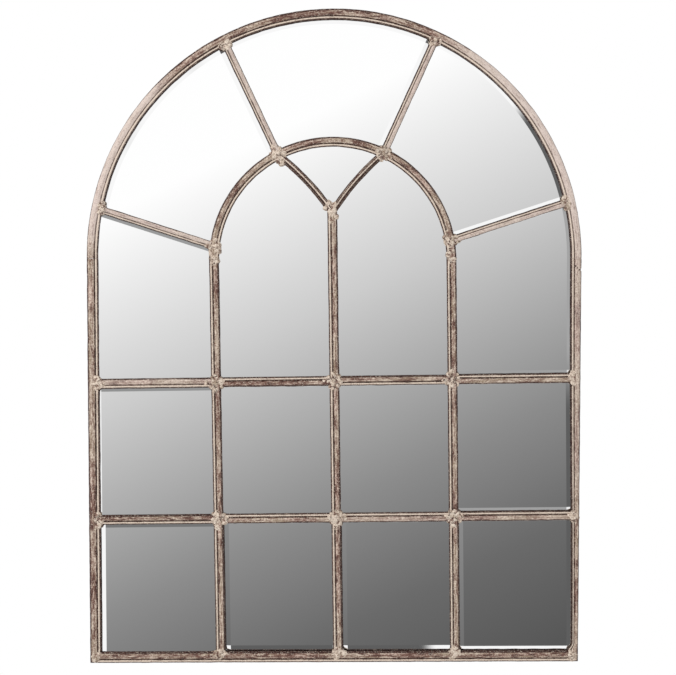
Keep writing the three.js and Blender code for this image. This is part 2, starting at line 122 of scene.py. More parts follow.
# The angles in degrees at which a spoke leaves the inner arch and meets the frame.
SPOKES = {
    "spoke_low_left": (172.8, 168.1),
    "spoke_high_left": (117.2, 116.9),
    "spoke_high_right": (64.7, 65.2),
    "spoke_low_right": (9.8, 13.5),
}
FORK_RISE, ARM_BOW = 88, 5.5
FORK_HEIGHT = INNER[1] + FORK_RISE


def mullion_x(column, z):
    """How far across a mullion's middle line lies at that height."""
    return INNER[0] + column * BAY + LEAN * (INNER[1] - z) / INNER[1]


def rail_z(rail, x):
    """How high a rail's middle line lies there."""
    middle, climb = RAILS[rail]
    return middle + climb * x / (2 * HALF_WIDTH)


def on_circle(centre, radius, degrees):
    """The point on a circle at an angle that starts at the right and grows upwards."""
    turn = math.radians(degrees)
    return centre[0] + radius * math.cos(turn), centre[1] + radius * math.sin(turn)


def spoke_ends(name):
    """Where a spoke's middle line meets the inner arch and the frame."""
    inner, outer = SPOKES[name]
    return on_circle(INNER, BAY, inner), on_circle((0, SPRING), R_FRAME, outer)


FORK = (mullion_x(0, FORK_HEIGHT), FORK_HEIGHT)


def arm_circle(side):
    """Centre and radius of a tracery arm, which bows up and outwards by ARM_BOW."""
    foot = Vector(FORK)
    head = Vector(spoke_ends("spoke_high_left" if side < 0 else "spoke_high_right")[0])
    half = (head - foot).length / 2
    radius = (half**2 + ARM_BOW**2) / (2 * ARM_BOW)
    across = Vector(((head - foot).y, -(head - foot).x)).normalized() * -side
    return (foot + head) / 2 + across * (ARM_BOW - radius), radius, foot, head


print("fork of the centre mullion at", [round(v, 1) for v in FORK])

# %% [markdown]
# ## Camera
# The photograph was taken from about three and a half metres, a little above the middle of
# the mirror and looking slightly down, with a long lens. That is why the sides of the
# frame come together a little towards the foot.

# %% Camera
EYE_ACROSS, EYE_OUT, EYE_HEIGHT = -44.4, 3511, 845.0
AIM_ACROSS, AIM_OUT, AIM_HEIGHT = 6.2, 20, 600.9
SENSOR_WIDTH, FOCAL_LENGTH = 36, 102.3
eye = place(EYE_ACROSS, EYE_OUT, EYE_HEIGHT)
aim = place(AIM_ACROSS, AIM_OUT, AIM_HEIGHT)
bpy.ops.object.camera_add(location=eye)
camera = bpy.context.object
camera.rotation_euler = (aim - eye).to_track_quat("-Z", "Y").to_euler()
camera.data.sensor_width = SENSOR_WIDTH
camera.data.lens = FOCAL_LENGTH
bpy.context.scene.camera = camera
print("camera stands", round((aim - eye).length, 2), "m from the mirror")

# %% [markdown]
# ## Writing a finish as sums
# A finish is a network of small nodes. It could be wired up in the node editor, or in
# Python with one line for each link, but neither is easy to read. As arithmetic it is. This
# class holds one output of a node. Python's signs on it add Math nodes, and its `node`
# method adds any other node: first the node's settings, then its sockets' values or links.

# %% The wire class
class Wire:
    """One output of a shader node, or with no socket the start of a node tree."""

    def __init__(self, tree, socket=None):
        self.tree, self.socket = tree, socket

    def node(self, kind, settings=None, sockets=None, out=0):
        made = self.tree.nodes.new("ShaderNode" + kind)
        settings = dict(settings or {})
        for at, shade in settings.pop("stops", ()):
            ramp = made.color_ramp.elements
            stop = ramp[0] if at == 0 else ramp[len(ramp) - 1] if at == 1 else ramp.new(at)
            stop.color = shade
        for key, value in settings.items():
            setattr(made, key, value)
        for key, value in (sockets or {}).items():
            if isinstance(value, Wire):
                self.tree.links.new(value.socket, made.inputs[key])
            else:
                made.inputs[key].default_value = value
        return Wire(self.tree, made.outputs[out]) if made.outputs else made

    def sum(self, sign, first, second):
        return self.node("Math", {"operation": sign}, {0: first, 1: second})

    def __add__(self, other):
        return self.sum("ADD", self, other)

    def __sub__(self, other):
        return self.sum("SUBTRACT", self, other)

    def __mul__(self, other):
        return self.sum("MULTIPLY", self, other)

    def __truediv__(self, other):
        return self.sum("DIVIDE", self, other)

    def __pow__(self, other):
        return self.sum("POWER", self, other)

    def __abs__(self):
        return self.sum("ABSOLUTE", self, 0)

    def __rsub__(self, other):
        return self.sum("SUBTRACT", other, self)

    __radd__, __rmul__ = __add__, __mul__


# %% [markdown]
# ## Four words of the finisher's language
# Most finishes say the same few things: how much of a colour shows from here to there, one
# colour laid over another, a cloudy unevenness of some size, and a colour picked from a
# chart. Each gets its own short function, so that a finish below reads like a recipe.

# %% Rise, mix, grain and shade
def rise(value, low, high):
    """0 where value is under low, 1 over high, and smooth between."""
    sockets = {"Value": value, "From Min": low, "From Max": high}
    return value.node("MapRange", {"interpolation_type": "SMOOTHSTEP"}, sockets)


def mix(share, first, second):
    """The first colour where share is 0, the second where it is 1."""
    return share.node("Mix", {"data_type": "RGBA"}, {0: share, 6: first, 7: second}, out=2)


def grain(where, size, detail=2.0):
    """Cloudy noise from 0 to 1 with lumps of about that size in metres."""
    sockets = {"Vector": where, "Scale": 1 / size, "Detail": detail}
    return where.node("TexNoise", None, sockets)


def shade(red, green, blue):
    """A colour as a painter's chart gives it, 0 to 255, turned to light."""
    linear = [v / 12.92 if v <= 0.04045 else ((v + 0.055) / 1.055) ** 2.4
              for v in (red / 255, green / 255, blue / 255)]
    return (*linear, 1)


def empty_finish(name):
    """A new material with no nodes in it, and the start of its node tree."""
    finish = bpy.data.materials.new(name)
    finish.use_nodes = True
    finish.node_tree.nodes.clear()
    return finish, Wire(finish.node_tree)


print("cream paint as light:", [round(v, 3) for v in shade(217, 203, 187)])

# %% [markdown]
# ## Studio
# The mirror hangs over a pale floor in a white room, so the floor is far below the foot.
# What the camera sees past the object is plain white. A mirror has no colour of its own:
# it shows the room in front of it. That room could be built as walls and lamps, but a pane
# looks at only a small patch of it, so it is painted into the world's light instead, by the
# direction in which one looks. The far wall, behind the camera, runs from white, high on
# the left, to dark grey, low on the right.

# %% The far wall
room = bpy.data.worlds.new("studio_room")
room.use_nodes = True
room.node_tree.nodes.clear()
air = Wire(room.node_tree)
heading = air.node("TexCoord")
toward = [heading.node("SeparateXYZ", None, {0: heading}, out=axis) for axis in range(3)]
ahead = heading.sum("MAXIMUM", abs(toward[1]), 0.05)
across, upward = toward[0] / ahead, toward[2] / ahead
downward, leftward = upward * -1, across * -1

FALL_UP, FALL_ACROSS = 0.899, 0.438
DARK_END, BRIGHT_END = -0.27, 0.05
FAR_WALL = [(0, 0.340), (0.19, 0.416), (0.38, 0.545), (0.68, 0.795), (0.97, 1.0), (1, 1.0)]
slope = upward * FALL_UP - across * FALL_ACROSS
stops = [(at, (grey, grey, grey, 1)) for at, grey in FAR_WALL]
along_wall = {"Value": slope, "From Min": DARK_END, "From Max": BRIGHT_END}
wall = slope.node("ValToRGB", {"stops": stops}, {0: slope.node("MapRange", None, along_wall)})
wall = wall ** 2.2 * 1.07
print("greys on the far wall:", len(FAR_WALL))

# %% [markdown]
# ## What the bevels see
# The bevels look further to the side than the flats: up to a grey shelf, a row of lamps and
# a dark roof, and out to a bright left wall, a right wall that gives way to the dark with a
# dim doorway in it, and a pale ground. Each is laid over the far wall where its own part of
# the view starts. The pairs below say where that is, as height or width over distance: nothing of it
# shows at the first number, and all of it at the second.

# %% Shelf, lamps, roof, side walls and ground
SHELF, SHELF_TOP, LAMPS, ROOF = (0.17, 0.22), (0.24, 0.34), (0.40, 0.44), (0.58, 0.62)
LEFT_WALL, LEFT_WALL_TOP, LEFT_WINDOW = (0.20, 0.28), (0.40, 0.46), (0.475, 0.495)
RIGHT_WALL, RIGHT_DARK = (0.20, 0.26), (0.44, 0.48)
DOOR_FOOT, DOOR_HEAD = (-0.12, -0.08), (0.08, 0.13)
GROUND, NEAR_GROUND, FEET = (0.30, 0.36), (0.42, 0.45), (0.66, 0.69)
ASIDE, MIDDLE_LAMP = (0.20, 0.28), (0.07, 0.08)


def lay_over(under, share, value):
    """Covers what is seen with another brightness where share is 1."""
    return under * (1 - share) + share * value


shelf = rise(upward, *SHELF)
lamps = rise(upward, *LAMPS)
roof = rise(upward, *ROOF)
left_wall = rise(leftward, *LEFT_WALL) * (1 - rise(upward, *LEFT_WALL_TOP))
left_shade = upward.sum("MINIMUM", 0.55 + upward * 1.5, 1.0)
right_wall = rise(across, *RIGHT_WALL) * (1 - roof)
doorway = 0.88 - 0.28 * (rise(upward, *DOOR_FOOT) - rise(upward, *DOOR_HEAD))
ground = rise(downward, *GROUND)
far_ground = rise(downward, *FEET)
aside = rise(abs(across), *ASIDE)
seen = lay_over(wall, shelf, 0.19 + rise(upward, *SHELF_TOP) * 0.16)
seen = lay_over(seen, lamps, 1.0)
seen = lay_over(seen, roof, 0.10)
seen = lay_over(seen, left_wall, lay_over(left_shade, rise(leftward, *LEFT_WINDOW), 1.0))
seen = lay_over(seen, right_wall, 1 - rise(across, *RIGHT_DARK) * doorway)
lit_feet = lay_over(aside * 0.88 + 0.12, rise(across, *MIDDLE_LAMP), 1.0)
yard = lay_over(0.38 + aside * 0.4, far_ground, lit_feet)
seen = lay_over(seen, ground, lay_over(yard, 1 - rise(downward, *NEAR_GROUND), 1.0))
print("room nodes so far:", len(room.node_tree.nodes))

# %% [markdown]
# ## Which rays see the room
# Only a mirror shows the painted room. Cycles tells what kind of ray asks: the camera's own
# ray gets plain white, a ray that bounced off something shiny gets the room, and every
# other ray gets an even glow, which lights the paint softly and neutrally from all sides.

# %% Light for each kind of ray
GLOW = 0.80
from_camera = air.node("LightPath", out=0)
from_gloss = air.node("LightPath", out=3)
through_glass = air.node("LightPath", out=6)
plain = heading.sum("MAXIMUM", from_camera, through_glass)
glow = from_gloss * seen + (1 - from_gloss) * GLOW
level = plain * 1.0 + (1 - plain) * glow
sky = air.node("Background", None, {"Color": level, "Strength": 1.0})
air.node("OutputWorld", None, {"Surface": sky})
bpy.context.scene.world = room
bpy.context.scene.view_settings.view_transform = "Standard"
print("room nodes:", len(room.node_tree.nodes))

# %% [markdown]
# ## Floor and lamps
# A floor close under the foot would show in the lower bevels, so a small pale one lies
# deep down, where they don't look. Two square lamps, one in front on the left and one
# behind on the right, give the mouldings a soft bright side. They don't show in the panes.

# %% Floor and soft lamps
FLOOR_DROP, FLOOR_SIDE, FLOOR_OUT = 1500, 2.6, -200
bpy.ops.mesh.primitive_plane_add(size=FLOOR_SIDE, location=place(0, FLOOR_OUT, -FLOOR_DROP))
floor = bpy.context.object
floor.name = "pale_floor"
floor_paint = bpy.data.materials.new("pale_floor")
floor_paint.use_nodes = True
floor_skin = floor_paint.node_tree.nodes["Principled BSDF"]
floor_skin.inputs["Base Color"].default_value = (0.9, 0.9, 0.9, 1)
floor_skin.inputs["Roughness"].default_value = 0.9
floor.data.materials.append(floor_paint)
floor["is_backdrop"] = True


def soft_lamp(name, spot, size, power):
    """A square lamp that looks at the middle of the mirror."""
    bpy.ops.object.light_add(type="AREA", location=spot)
    lamp = bpy.context.object
    lamp.name = name
    lamp.data.size, lamp.data.energy = size, power
    middle = (cad_low + cad_high) / 2
    lamp.rotation_euler = (middle - Vector(spot)).to_track_quat("-Z", "Y").to_euler()
    lamp.visible_glossy = False


soft_lamp("window_light", (-2.6, -2.6, 1.5), 1.4, 60)
soft_lamp("back_light", (2.0, 3.0, 0.8), 2.0, 30)
print("floor lies", FLOOR_DROP, "mm under the foot")

# %% [markdown]
# ## Painted iron
# The iron was given a red-brown coat, then taupe and cream, and the cream was rubbed and
# wiped while it was soft. It stayed bright on the narrow bead, where the cream is partly
# paint and partly a painted highlight. Red-brown shows in patches on the broad side, which
# is taupe and streaked along the bar, and in the grooves beside the bead and along the
# arrises, where it is partly worn paint and partly painted shade. Noise alone would give
# blotches that ignore the bars, so the pattern has to follow each bar. Every iron piece
# carries its own coordinates in an attribute named `lay`: distance along the bar, distance
# across it from the bead, and distance in from the nearest arris. `wear` tells how much was
# rubbed away there, `pushed` how far the skin was hammered out, and `knot` is 1 on welds.

# %% What the paint is told about each point
CREAM, TAUPE, ROSE = shade(228, 211, 194), shade(190, 173, 155), shade(192, 160, 150)
OLIVE, BROWN, RUST = shade(136, 117, 92), shade(112, 77, 66), shade(52, 26, 22)
# The second of these is a painted highlight for the humps of the weld knots.
PALE, HIGHLIGHT_CREAM = shade(224, 208, 200), shade(236, 222, 206)

iron_paint, paint = empty_finish("distressed_cream_paint")
spot = paint.node("TexCoord", out=3)
lay = paint.node("Attribute", {"attribute_name": "lay"}, out=1)
knot, wear, pushed = (
    paint.node("Attribute", {"attribute_name": name}, out=2) for name in ("knot", "wear", "pushed"))
side, inset = (lay.node("SeparateXYZ", None, {0: lay}, out=axis) * 1000 for axis in (1, 2))
bare = 1 - knot
print("paint nodes so far:", len(iron_paint.node_tree.nodes))

# %% [markdown]
# ## Streaks and clouds
# A brush and a rag leave marks that are long along the bar and short across it. The same
# noise gives them when the coordinate along the bar is squeezed first. Squeezed to nothing
# across, it gives slow drifts, which are the same over the whole width of the bar.

# %% Streaks, drifts and clouds
def drawn_out(size, keep_along, keep_across=1.0, shift=0.0, detail=2.0):
    """Noise that is stretched along the bar, and across it too where keep_across is 0."""
    settings = {"Vector": lay, "Scale": (keep_along, keep_across, 0.0), "Location": (shift, shift, 0)}
    return grain(lay.node("Mapping", None, settings), size, detail)


streak = drawn_out(0.0016, 0.10, detail=3.0)
broad_streak = drawn_out(0.0042, 0.10, shift=1.7)
patch = drawn_out(0.0095, 0.22, shift=3.1)
mottle = drawn_out(0.0032, 0.20, shift=6.7, detail=3.0)
drift = drawn_out(0.045, 1.0, 0.0)
swell = drawn_out(0.019, 1.0, 0.0, shift=5.3)
swell_far = drawn_out(0.026, 1.0, 0.0, shift=9.4)
zone = drawn_out(0.060, 1.0, 0.0, shift=2.6)
lumps, speck, cloud = grain(spot, 0.0042, 3), grain(spot, 0.0018, 2), grain(spot, 0.11, 1)
worn = wear + (cloud - 0.5) * 0.9
pale = 1 - rise(wear, 0.12, 0.42)
print("paint nodes so far:", len(iron_paint.node_tree.nodes))

# %% [markdown]
# ## Bands of the moulding
# Each band is a share from 0 to 1, found from how many millimetres a point lies across the
# bar. The bands could be painted by hand on an unwrapped bar, but there are over twenty
# bars, and arithmetic paints them all. The drifts move every edge a little, so no line
# runs dead straight.

# %% Where the bead, the grooves and the arrises lie
GROOVE_ACROSS, SECOND_ACROSS = 2.95, 8.2
wander = (drift - 0.5) * 1.6 + (streak - 0.5) * 0.8
bead = 1 - rise(abs(side + 0.1 + wander * 0.4), 1.1, 1.9)
# Red-brown along the glass-side arris: partly worn paint, partly painted shade where the bar's side falls
# to the glass.
near_arris = rise(-1 * side + wander * 0.5 - pale * 0.6, 1.15, 1.65)
groove_wide = 1.05 + rise(swell, 0.40, 0.66) * 0.7 - pale * 0.55
# The red-brown line in the groove beside the bead is partly worn paint and partly painted shade.
groove = 1 - rise(abs(side - GROOVE_ACROSS + wander * 0.8) - groove_wide, -0.25, 0.30)
groove = groove * rise(swell + worn * 0.35, 0.30, 0.50)
broad = rise(side, 2.2, 3.4)
second = 1 - rise(abs(side - SECOND_ACROSS + (swell_far - 0.5) * 9.0) - 0.35, -0.3, 0.6)
second = second * rise(swell_far + worn * 0.3, 0.50, 0.68) * broad
# Red-brown along the far arris: partly worn paint, partly painted shade, wider where the wear is heavy.
far_edge = inset + (streak - 0.5) * 1.2 + pale * 1.3 - worn * 1.4
far_arris = (1 - rise(far_edge, 2.0, 2.6)) * broad
rubbed = rise(patch + (zone - 0.5) * 0.5 + worn * 0.42, 0.72, 0.86) * broad
# Painted shade: the low spots of the hammered skin are marked for a darker colour.
dent_shade = 1 - rise(pushed, -0.16, 0.02)
cut_in = 1 - rise(pushed, -1.3, -0.8)
print("groove lies", GROOVE_ACROSS, "mm from the bead")

# %% [markdown]
# ## Colours of the bars
# The coats go on in the order in which the maker worked: a mottled taupe, brown where it
# was rubbed, a pale wash on bars that were hardly rubbed, cream on the bead, and last the
# red-brown lines in the grooves and along the arrises. The brown in the hammer dents is
# painted shade, the bead's cream is partly a painted highlight, and the red-brown in the
# grooves and along the arrises is partly painted shade.

# %% Coats of paint on the bars
second_share = 0.85 - pale * 0.45
arris_share = 0.82 + rise(streak, 0.35, 0.55) * 0.16
far_share = 0.72 + rise(swell_far + worn * 0.3, 0.42, 0.60) * 0.26
brown_share = rise(mottle + (zone - 0.5) * 0.35 + worn * 0.14, 0.58, 0.72)
colour = mix(rise(cloud, 0.46, 0.60) * 0.6, TAUPE, ROSE)
colour = mix(rise(lumps, 0.47, 0.60) * 0.75, colour, CREAM)
colour = mix(rise(broad_streak, 0.50, 0.64) * 0.75, colour, OLIVE)
colour = mix(brown_share * 0.75, colour, BROWN)
colour = mix(rubbed * bare * rise(mottle, 0.36, 0.50) * 0.85, colour, BROWN)
colour = mix(rubbed * rise(mottle, 0.50, 0.60) * bare * 0.8, colour, RUST)
# Painted shade in the hammer dents on the broad side.
colour = mix(dent_shade * bare * broad * 0.30, colour, BROWN)
colour = mix(pale * bare * (0.80 - rise(mottle, 0.52, 0.66) * 0.35), colour, PALE)
# Cream on the bead: partly paint, partly a painted highlight on its crest.
colour = mix(bead * bare * (0.95 - rise(streak, 0.56, 0.68) * 0.5), colour, CREAM)
colour = mix(second * bare * second_share, colour, BROWN)
# Worn paint and painted shade together in the groove.
colour = mix(groove * bare * (0.95 - pale * 0.25), colour, RUST)
# Worn paint and painted shade together along both arrises.
colour = mix(near_arris * bare * arris_share, colour, RUST)
colour = mix(far_arris * bare * far_share, colour, RUST)
print("paint nodes so far:", len(iron_paint.node_tree.nodes))

# %% [markdown]
# ## Colours of the weld knots
# Paint lies thick on a knot, mottled taupe and cream, with fine red-brown creases between
# the runs of weld. Its humps carry a painted highlight in pale cream, and its hollows painted
# shade in brown. The creases are the thin lines where a cloudy noise crosses its own middle
# value, so they wind about like worms. Specks go over everything.

# %% Knots, specks and the finished skin
worms = abs(grain(spot, 0.0085, 1.5) - 0.5)
creased = (1 - rise(worms, 0.020, 0.048)) * rise(cloud + drift * 0.4, 0.5, 0.72)
# Painted shade in the knots' hollows and a painted highlight on their humps, both found from how far the
# skin was pushed.
hollow_shade = 1 - rise(pushed + (lumps - 0.5) * 1.2, -0.62, -0.22)
hump_highlight = rise(pushed + (lumps - 0.5) * 0.8, 0.30, 0.62)
weld = mix(rise(lumps, 0.40, 0.60), TAUPE, CREAM)
weld = mix(rise(mottle, 0.50, 0.60) * 0.5, weld, OLIVE)
# Painted shade: brown in the hollows of the knots.
weld = mix(hollow_shade * 0.85, weld, BROWN)
weld = mix(creased * 0.9, weld, RUST)
# Painted highlight: pale cream on the humps of the knots.
weld = mix(hump_highlight * 0.6, weld, HIGHLIGHT_CREAM)
colour = mix(knot, colour, weld)
colour = mix((1 - rise(speck, 0.36, 0.44)) * (0.75 - pale * 0.45), colour, BROWN)
colour = mix(rise(speck, 0.57, 0.65) * 0.55, colour, CREAM)
colour = mix(cut_in * bare, colour, RUST)

gone = (groove * 0.6 + rubbed * 0.3) * bare
relief = streak * 0.5 + speck * 0.6 + lumps * knot * 0.8 - gone * 0.6
skin = paint.node("BsdfPrincipled", None, {
    "Base Color": colour,
    "Roughness": 0.60 + (speck - 0.5) * 0.3 - gone * 0.15,
    "Normal": relief.node("Bump", None, {"Height": relief, "Strength": 0.6, "Distance": 0.0005}),
    "Specular IOR Level": 0.35,
})
paint.node("OutputMaterial", None, {"Surface": skin})
print("paint nodes:", len(iron_paint.node_tree.nodes))

# %% [markdown]
# ## Mouldings
# A glazing bar is rolled iron: a narrow bead between two grooves, beside it a broad low
# crown, and a thin web behind that stands between two panes. The frame is a channel with
# the same moulding on its face. Its bead is nearest the glass, but along the foot it is
# nearest the floor. Spokes and tracery arms were filed slimmer. Beads could be laid on a
# plain box afterwards, but a section holds the whole shape at once, so it is drawn first.

# %% Sections of the mouldings
BEAD_AT = {"bar": -5.4, "frame": -6.5}
BEAD_HALF = {"bar": 1.7, "frame": 1.9}
SLIM = 0.72
HALF_FACE = {"bar": BAR_FACE / 2, "frame": FRAME_FACE / 2, "slim": SLIM * BAR_FACE / 2}
ARRIS = [(0.0, 0.0), (0.0, 0.9), (0.25, 1.6), (0.9, 2.2)]
BED, BEAD_FOOT, BEAD_RISE, CROWN_FOOT, CROWN_RISE = 2.5, 2.7, 2.3, 2.6, 3.4
BEAD_TURNS = (8, 30, 60, 90, 120, 150, 172)
CROWN_POINTS = 12


def moulded_face(half, kind):
    """Points across and out over the moulding, from the glass side to the far side."""
    bead, bead_half = BEAD_AT[kind], BEAD_HALF[kind]
    face = [(inward - half, out) for inward, out in ARRIS]
    face += [((bead - bead_half - half) / 2, BED), (bead - bead_half - 0.4, BED - 0.1)]
    for degrees in BEAD_TURNS:
        turn = math.radians(degrees)
        face.append((bead - bead_half * math.cos(turn), BEAD_FOOT + BEAD_RISE * math.sin(turn)))
    face.append((bead + bead_half + 0.5, BED))
    start, end = bead + bead_half + 0.9, half - 0.9
    for step in range(CROWN_POINTS):
        share = step / (CROWN_POINTS - 1)
        swelling = math.sin(math.pi * (0.06 + 0.88 * share)) ** 0.7
        face.append((start + (end - start) * share, CROWN_FOOT + CROWN_RISE * swelling))
    face += [(half - inward, out) for inward, out in ARRIS[::-1]]
    return [(across, FACE_BACK + out) for across, out in face]


WEB_HALF = 1
web = [(WEB_HALF, FACE_BACK), (WEB_HALF, GLASS_BACK), (-WEB_HALF, GLASS_BACK), (-WEB_HALF, FACE_BACK)]
bar_face = moulded_face(BAR_FACE / 2, "bar")
bar_section = bar_face + web
slim_section = [(across * SLIM, out) for across, out in bar_face] + web

LIP, WALL, CHANNEL_TOP = 7.5, 2.5, 8.0
outer_wall, inner_wall = FRAME_FACE / 2, LIP - FRAME_FACE / 2
channel = [
    (outer_wall, CHANNEL_TOP), (outer_wall, 0), (outer_wall - WALL, 0), (outer_wall - WALL, FACE_BACK),
    (inner_wall + WALL, FACE_BACK), (inner_wall + WALL, 0), (inner_wall, 0), (inner_wall, FACE_BACK)]
frame_face = moulded_face(FRAME_FACE / 2, "frame")
frame_section = frame_face[:-1] + channel
foot_section = [(-across, out) for across, out in frame_face[:0:-1]] + channel
print("points over a moulded face:", len(bar_face))

# %% [markdown]
# ## Tracing a section
# A curve with a bevel profile would also give a bar, but its ends and its seams are hard to
# control. So one point is pulled round the section, edge by edge, and the ends are joined.
# The loop of edges that is left can be pulled or spun like the real rolled iron.

# %% Loops of edges
def trace(name, section):
    """Pulls one point round the section, joins the ends and leaves a closed loop of edges."""
    bpy.ops.mesh.primitive_plane_add(size=mm)
    loop = bpy.context.object
    loop.name = name
    bpy.ops.object.mode_set(mode="EDIT")
    bpy.ops.mesh.merge(type="CENTER")
    bpy.ops.transform.translate(value=(section[0][0] * mm, -section[0][1] * mm, 0))
    for (a0, o0), (a1, o1) in zip(section, section[1:]):
        step = ((a1 - a0) * mm, (o0 - o1) * mm, 0)
        bpy.ops.mesh.extrude_region_move(TRANSFORM_OT_translate={"value": step})
    bpy.ops.object.mode_set(mode="OBJECT")
    for vertex in loop.data.vertices:
        vertex.select = vertex.index in (0, len(section) - 1)
    bpy.ops.object.mode_set(mode="EDIT")
    bpy.ops.mesh.edge_face_add()
    bpy.ops.object.mode_set(mode="OBJECT")
    loop.hide_render = True
    return loop


bar_loop = trace("bar_section", bar_section)
slim_loop = trace("slim_section", slim_section)
frame_loop = trace("frame_section", frame_section)
foot_loop = trace("foot_section", foot_section)
print("points in a bar's section:", len(bar_loop.data.vertices),
      "and in the frame's:", len(frame_loop.data.vertices))

# %% [markdown]
# ## Drawing a bar out of its section
# Every bar starts as a copy of a traced section. When it has been drawn out, the ends are
# still open, so they are filled and the faces are turned outwards. A closed bar can be cut
# and joined later without leaving holes.

# %% Copies and closed ends
STATION, LONGEST_PULL = 3.5, 300


def copy_of(original, name):
    """A copy with its own mesh."""
    made = original.copy()
    made.data = original.data.copy()
    made.name = made.data.name = name
    made.hide_render = False
    bpy.context.scene.collection.objects.link(made)
    return work_on(made)


def close_ends():
    """Fills both open ends of the bar in edit mode, and turns its faces outwards."""
    bpy.ops.mesh.select_all(action="DESELECT")
    bpy.ops.mesh.select_non_manifold()
    bpy.ops.mesh.fill_holes(sides=0)
    bpy.ops.mesh.select_all(action="SELECT")
    bpy.ops.mesh.normals_make_consistent(inside=False)
    bpy.ops.object.mode_set(mode="OBJECT")


print("one step along a bar:", STATION, "mm")

# %% [markdown]
# ## Straight lengths
# A straight bar is the section pulled in long steps and then subdivided along its length,
# so that there are enough points to carry hammer marks. One pull for each of those points
# would give the same mesh, but it takes Blender far longer.

# %% Pulling a straight bar
def straight(name, section, start, end):
    """A length of moulding between two points on its middle line."""
    run = Vector(end) - Vector(start)
    bar = copy_of(section, name)
    bar.rotation_euler = (0, math.atan2(run.x, run.y), 0)
    bar.location = place(start[0], 0, start[1])
    bpy.ops.object.transform_apply(location=True, rotation=True, scale=True)
    bpy.ops.object.mode_set(mode="EDIT")
    bpy.ops.mesh.select_all(action="SELECT")
    pulls = math.ceil(run.length / LONGEST_PULL)
    reach = run * (mm / pulls)
    for _ in range(pulls):
        step = (reach.x, 0, reach.y)
        bpy.ops.mesh.extrude_region_move(TRANSFORM_OT_translate={"value": step})
    bpy.ops.mesh.select_mode(type="EDGE")
    bpy.ops.mesh.select_all(action="DESELECT")
    bpy.ops.object.mode_set(mode="OBJECT")
    spots = bar.data.vertices
    for edge in bar.data.edges:
        first, second = (spots[v].co for v in edge.vertices)
        edge.select = (second - first).length > 0.98 * reach.length
    bpy.ops.object.mode_set(mode="EDIT")
    bpy.ops.mesh.subdivide(number_cuts=round(run.length / pulls / STATION))
    bpy.ops.mesh.select_mode(type="VERT")
    close_ends()
    return bar


print("longest single pull:", LONGEST_PULL, "mm")

# %% [markdown]
# ## Bent lengths
# A bent bar is the section spun about the middle of its arch. The section is first turned
# to the angle where the bend begins, and Spin carries it to the angle where it ends.

# %% Spinning a bent bar
def bent(name, section, centre, radius, first, last):
    """A length of moulding bent about a centre, between two angles in degrees."""
    bar = copy_of(section, name)
    bar.location = place(centre[0] + radius, 0, centre[1])
    bar.rotation_euler = (0, 0, 0)
    bpy.ops.object.transform_apply(location=True, rotation=True, scale=True)
    pivot = place(centre[0], 0, centre[1])
    begin = Matrix.Translation(pivot) @ Matrix.Rotation(math.radians(-first), 4, "Y")
    bar.data.transform(begin @ Matrix.Translation(-pivot))
    sweep = math.radians(last - first)
    bpy.ops.object.mode_set(mode="EDIT")
    bpy.ops.mesh.select_all(action="SELECT")
    bpy.ops.mesh.spin(steps=max(8, round(radius * abs(sweep) / STATION)), angle=sweep,
                      center=pivot, axis=(0, 1, 0))
    close_ends()
    return bar


print("steps round the inner arch:", round(BAY * math.pi / STATION))

# %% [markdown]
# ## Cutting
# Mitres and the flat backs of knots are all one plane cut. Bisect is surer than a boolean
# here, because it needs no second body and closes its own cut.

# %% Trimming at a plane
def trim(piece, point, away):
    """Cuts the piece at a plane and takes off the side that `away` points to."""
    work_on(piece)
    bpy.ops.object.mode_set(mode="EDIT")
    bpy.ops.mesh.select_all(action="SELECT")
    bpy.ops.mesh.bisect(plane_co=point, plane_no=away, use_fill=True, clear_outer=True)
    bpy.ops.object.mode_set(mode="OBJECT")
    return piece


print("knots will be cut flat", round(KNOT_BACK - FACE_BACK, 1), "mm over the backs of the faces")

# %% [markdown]
# ## Hammered skin and the paint's own coordinates
# Rolled iron that was heated, bent and filed is never quite even. Displace modifiers with
# cloudy textures push the skin in and out: long, shallow dents and a fine brushed
# roughness. Each point's place along and across the bar is written down for the paint
# before that, because displacement would blur it, and how far the point was pushed is
# written down after it, because the paint darkens the low spots with painted shade, marks
# the deep cut of the butt weld red-brown, and gives the humps of knots a painted highlight.
# Bump alone would be lighter, but the photographed edges themselves are wavy, so the dents are real.

# %% Hammering and brushing
clouds = {}
for cloud_name, size in (("dents", 0.020), ("brushing", 0.0035), ("blobs", 0.0065)):
    clouds[cloud_name] = bpy.data.textures.new(cloud_name, "CLOUDS")
    clouds[cloud_name].noise_scale = size
    clouds[cloud_name].noise_depth = 1


def roughen(piece, *layers, seam=None):
    """Pushes the skin along its normals: pairs of a cloud texture and a depth in mm."""
    work_on(piece)
    rest = [vertex.co.copy() for vertex in piece.data.vertices]
    out = [vertex.normal.copy() for vertex in piece.data.vertices]
    for texture, depth in layers:
        layer = piece.modifiers.new(texture, "DISPLACE")
        layer.texture, layer.texture_coords = clouds[texture], "LOCAL"
        layer.strength, layer.mid_level = depth * mm, 0.5
        bpy.ops.object.modifier_apply(modifier=layer.name)
    if seam:
        for i, vertex in enumerate(piece.data.vertices):
            vertex.co -= out[i] * seam(*measured(rest[i])) * mm
    pushed = [(vertex.co - rest[i]).dot(out[i]) / mm for i, vertex in enumerate(piece.data.vertices)]
    piece.data.attributes.new("pushed", "FLOAT", "POINT").data.foreach_set("value", pushed)
    return piece


print("cloud textures:", list(clouds))

# %% [markdown]
# ## Measuring a bar for its paint
# Every point is measured once along its bar's middle line, straight or bent. Each bar is
# given a distance to start from, because bars that all started at 0 would show the same
# streaks.

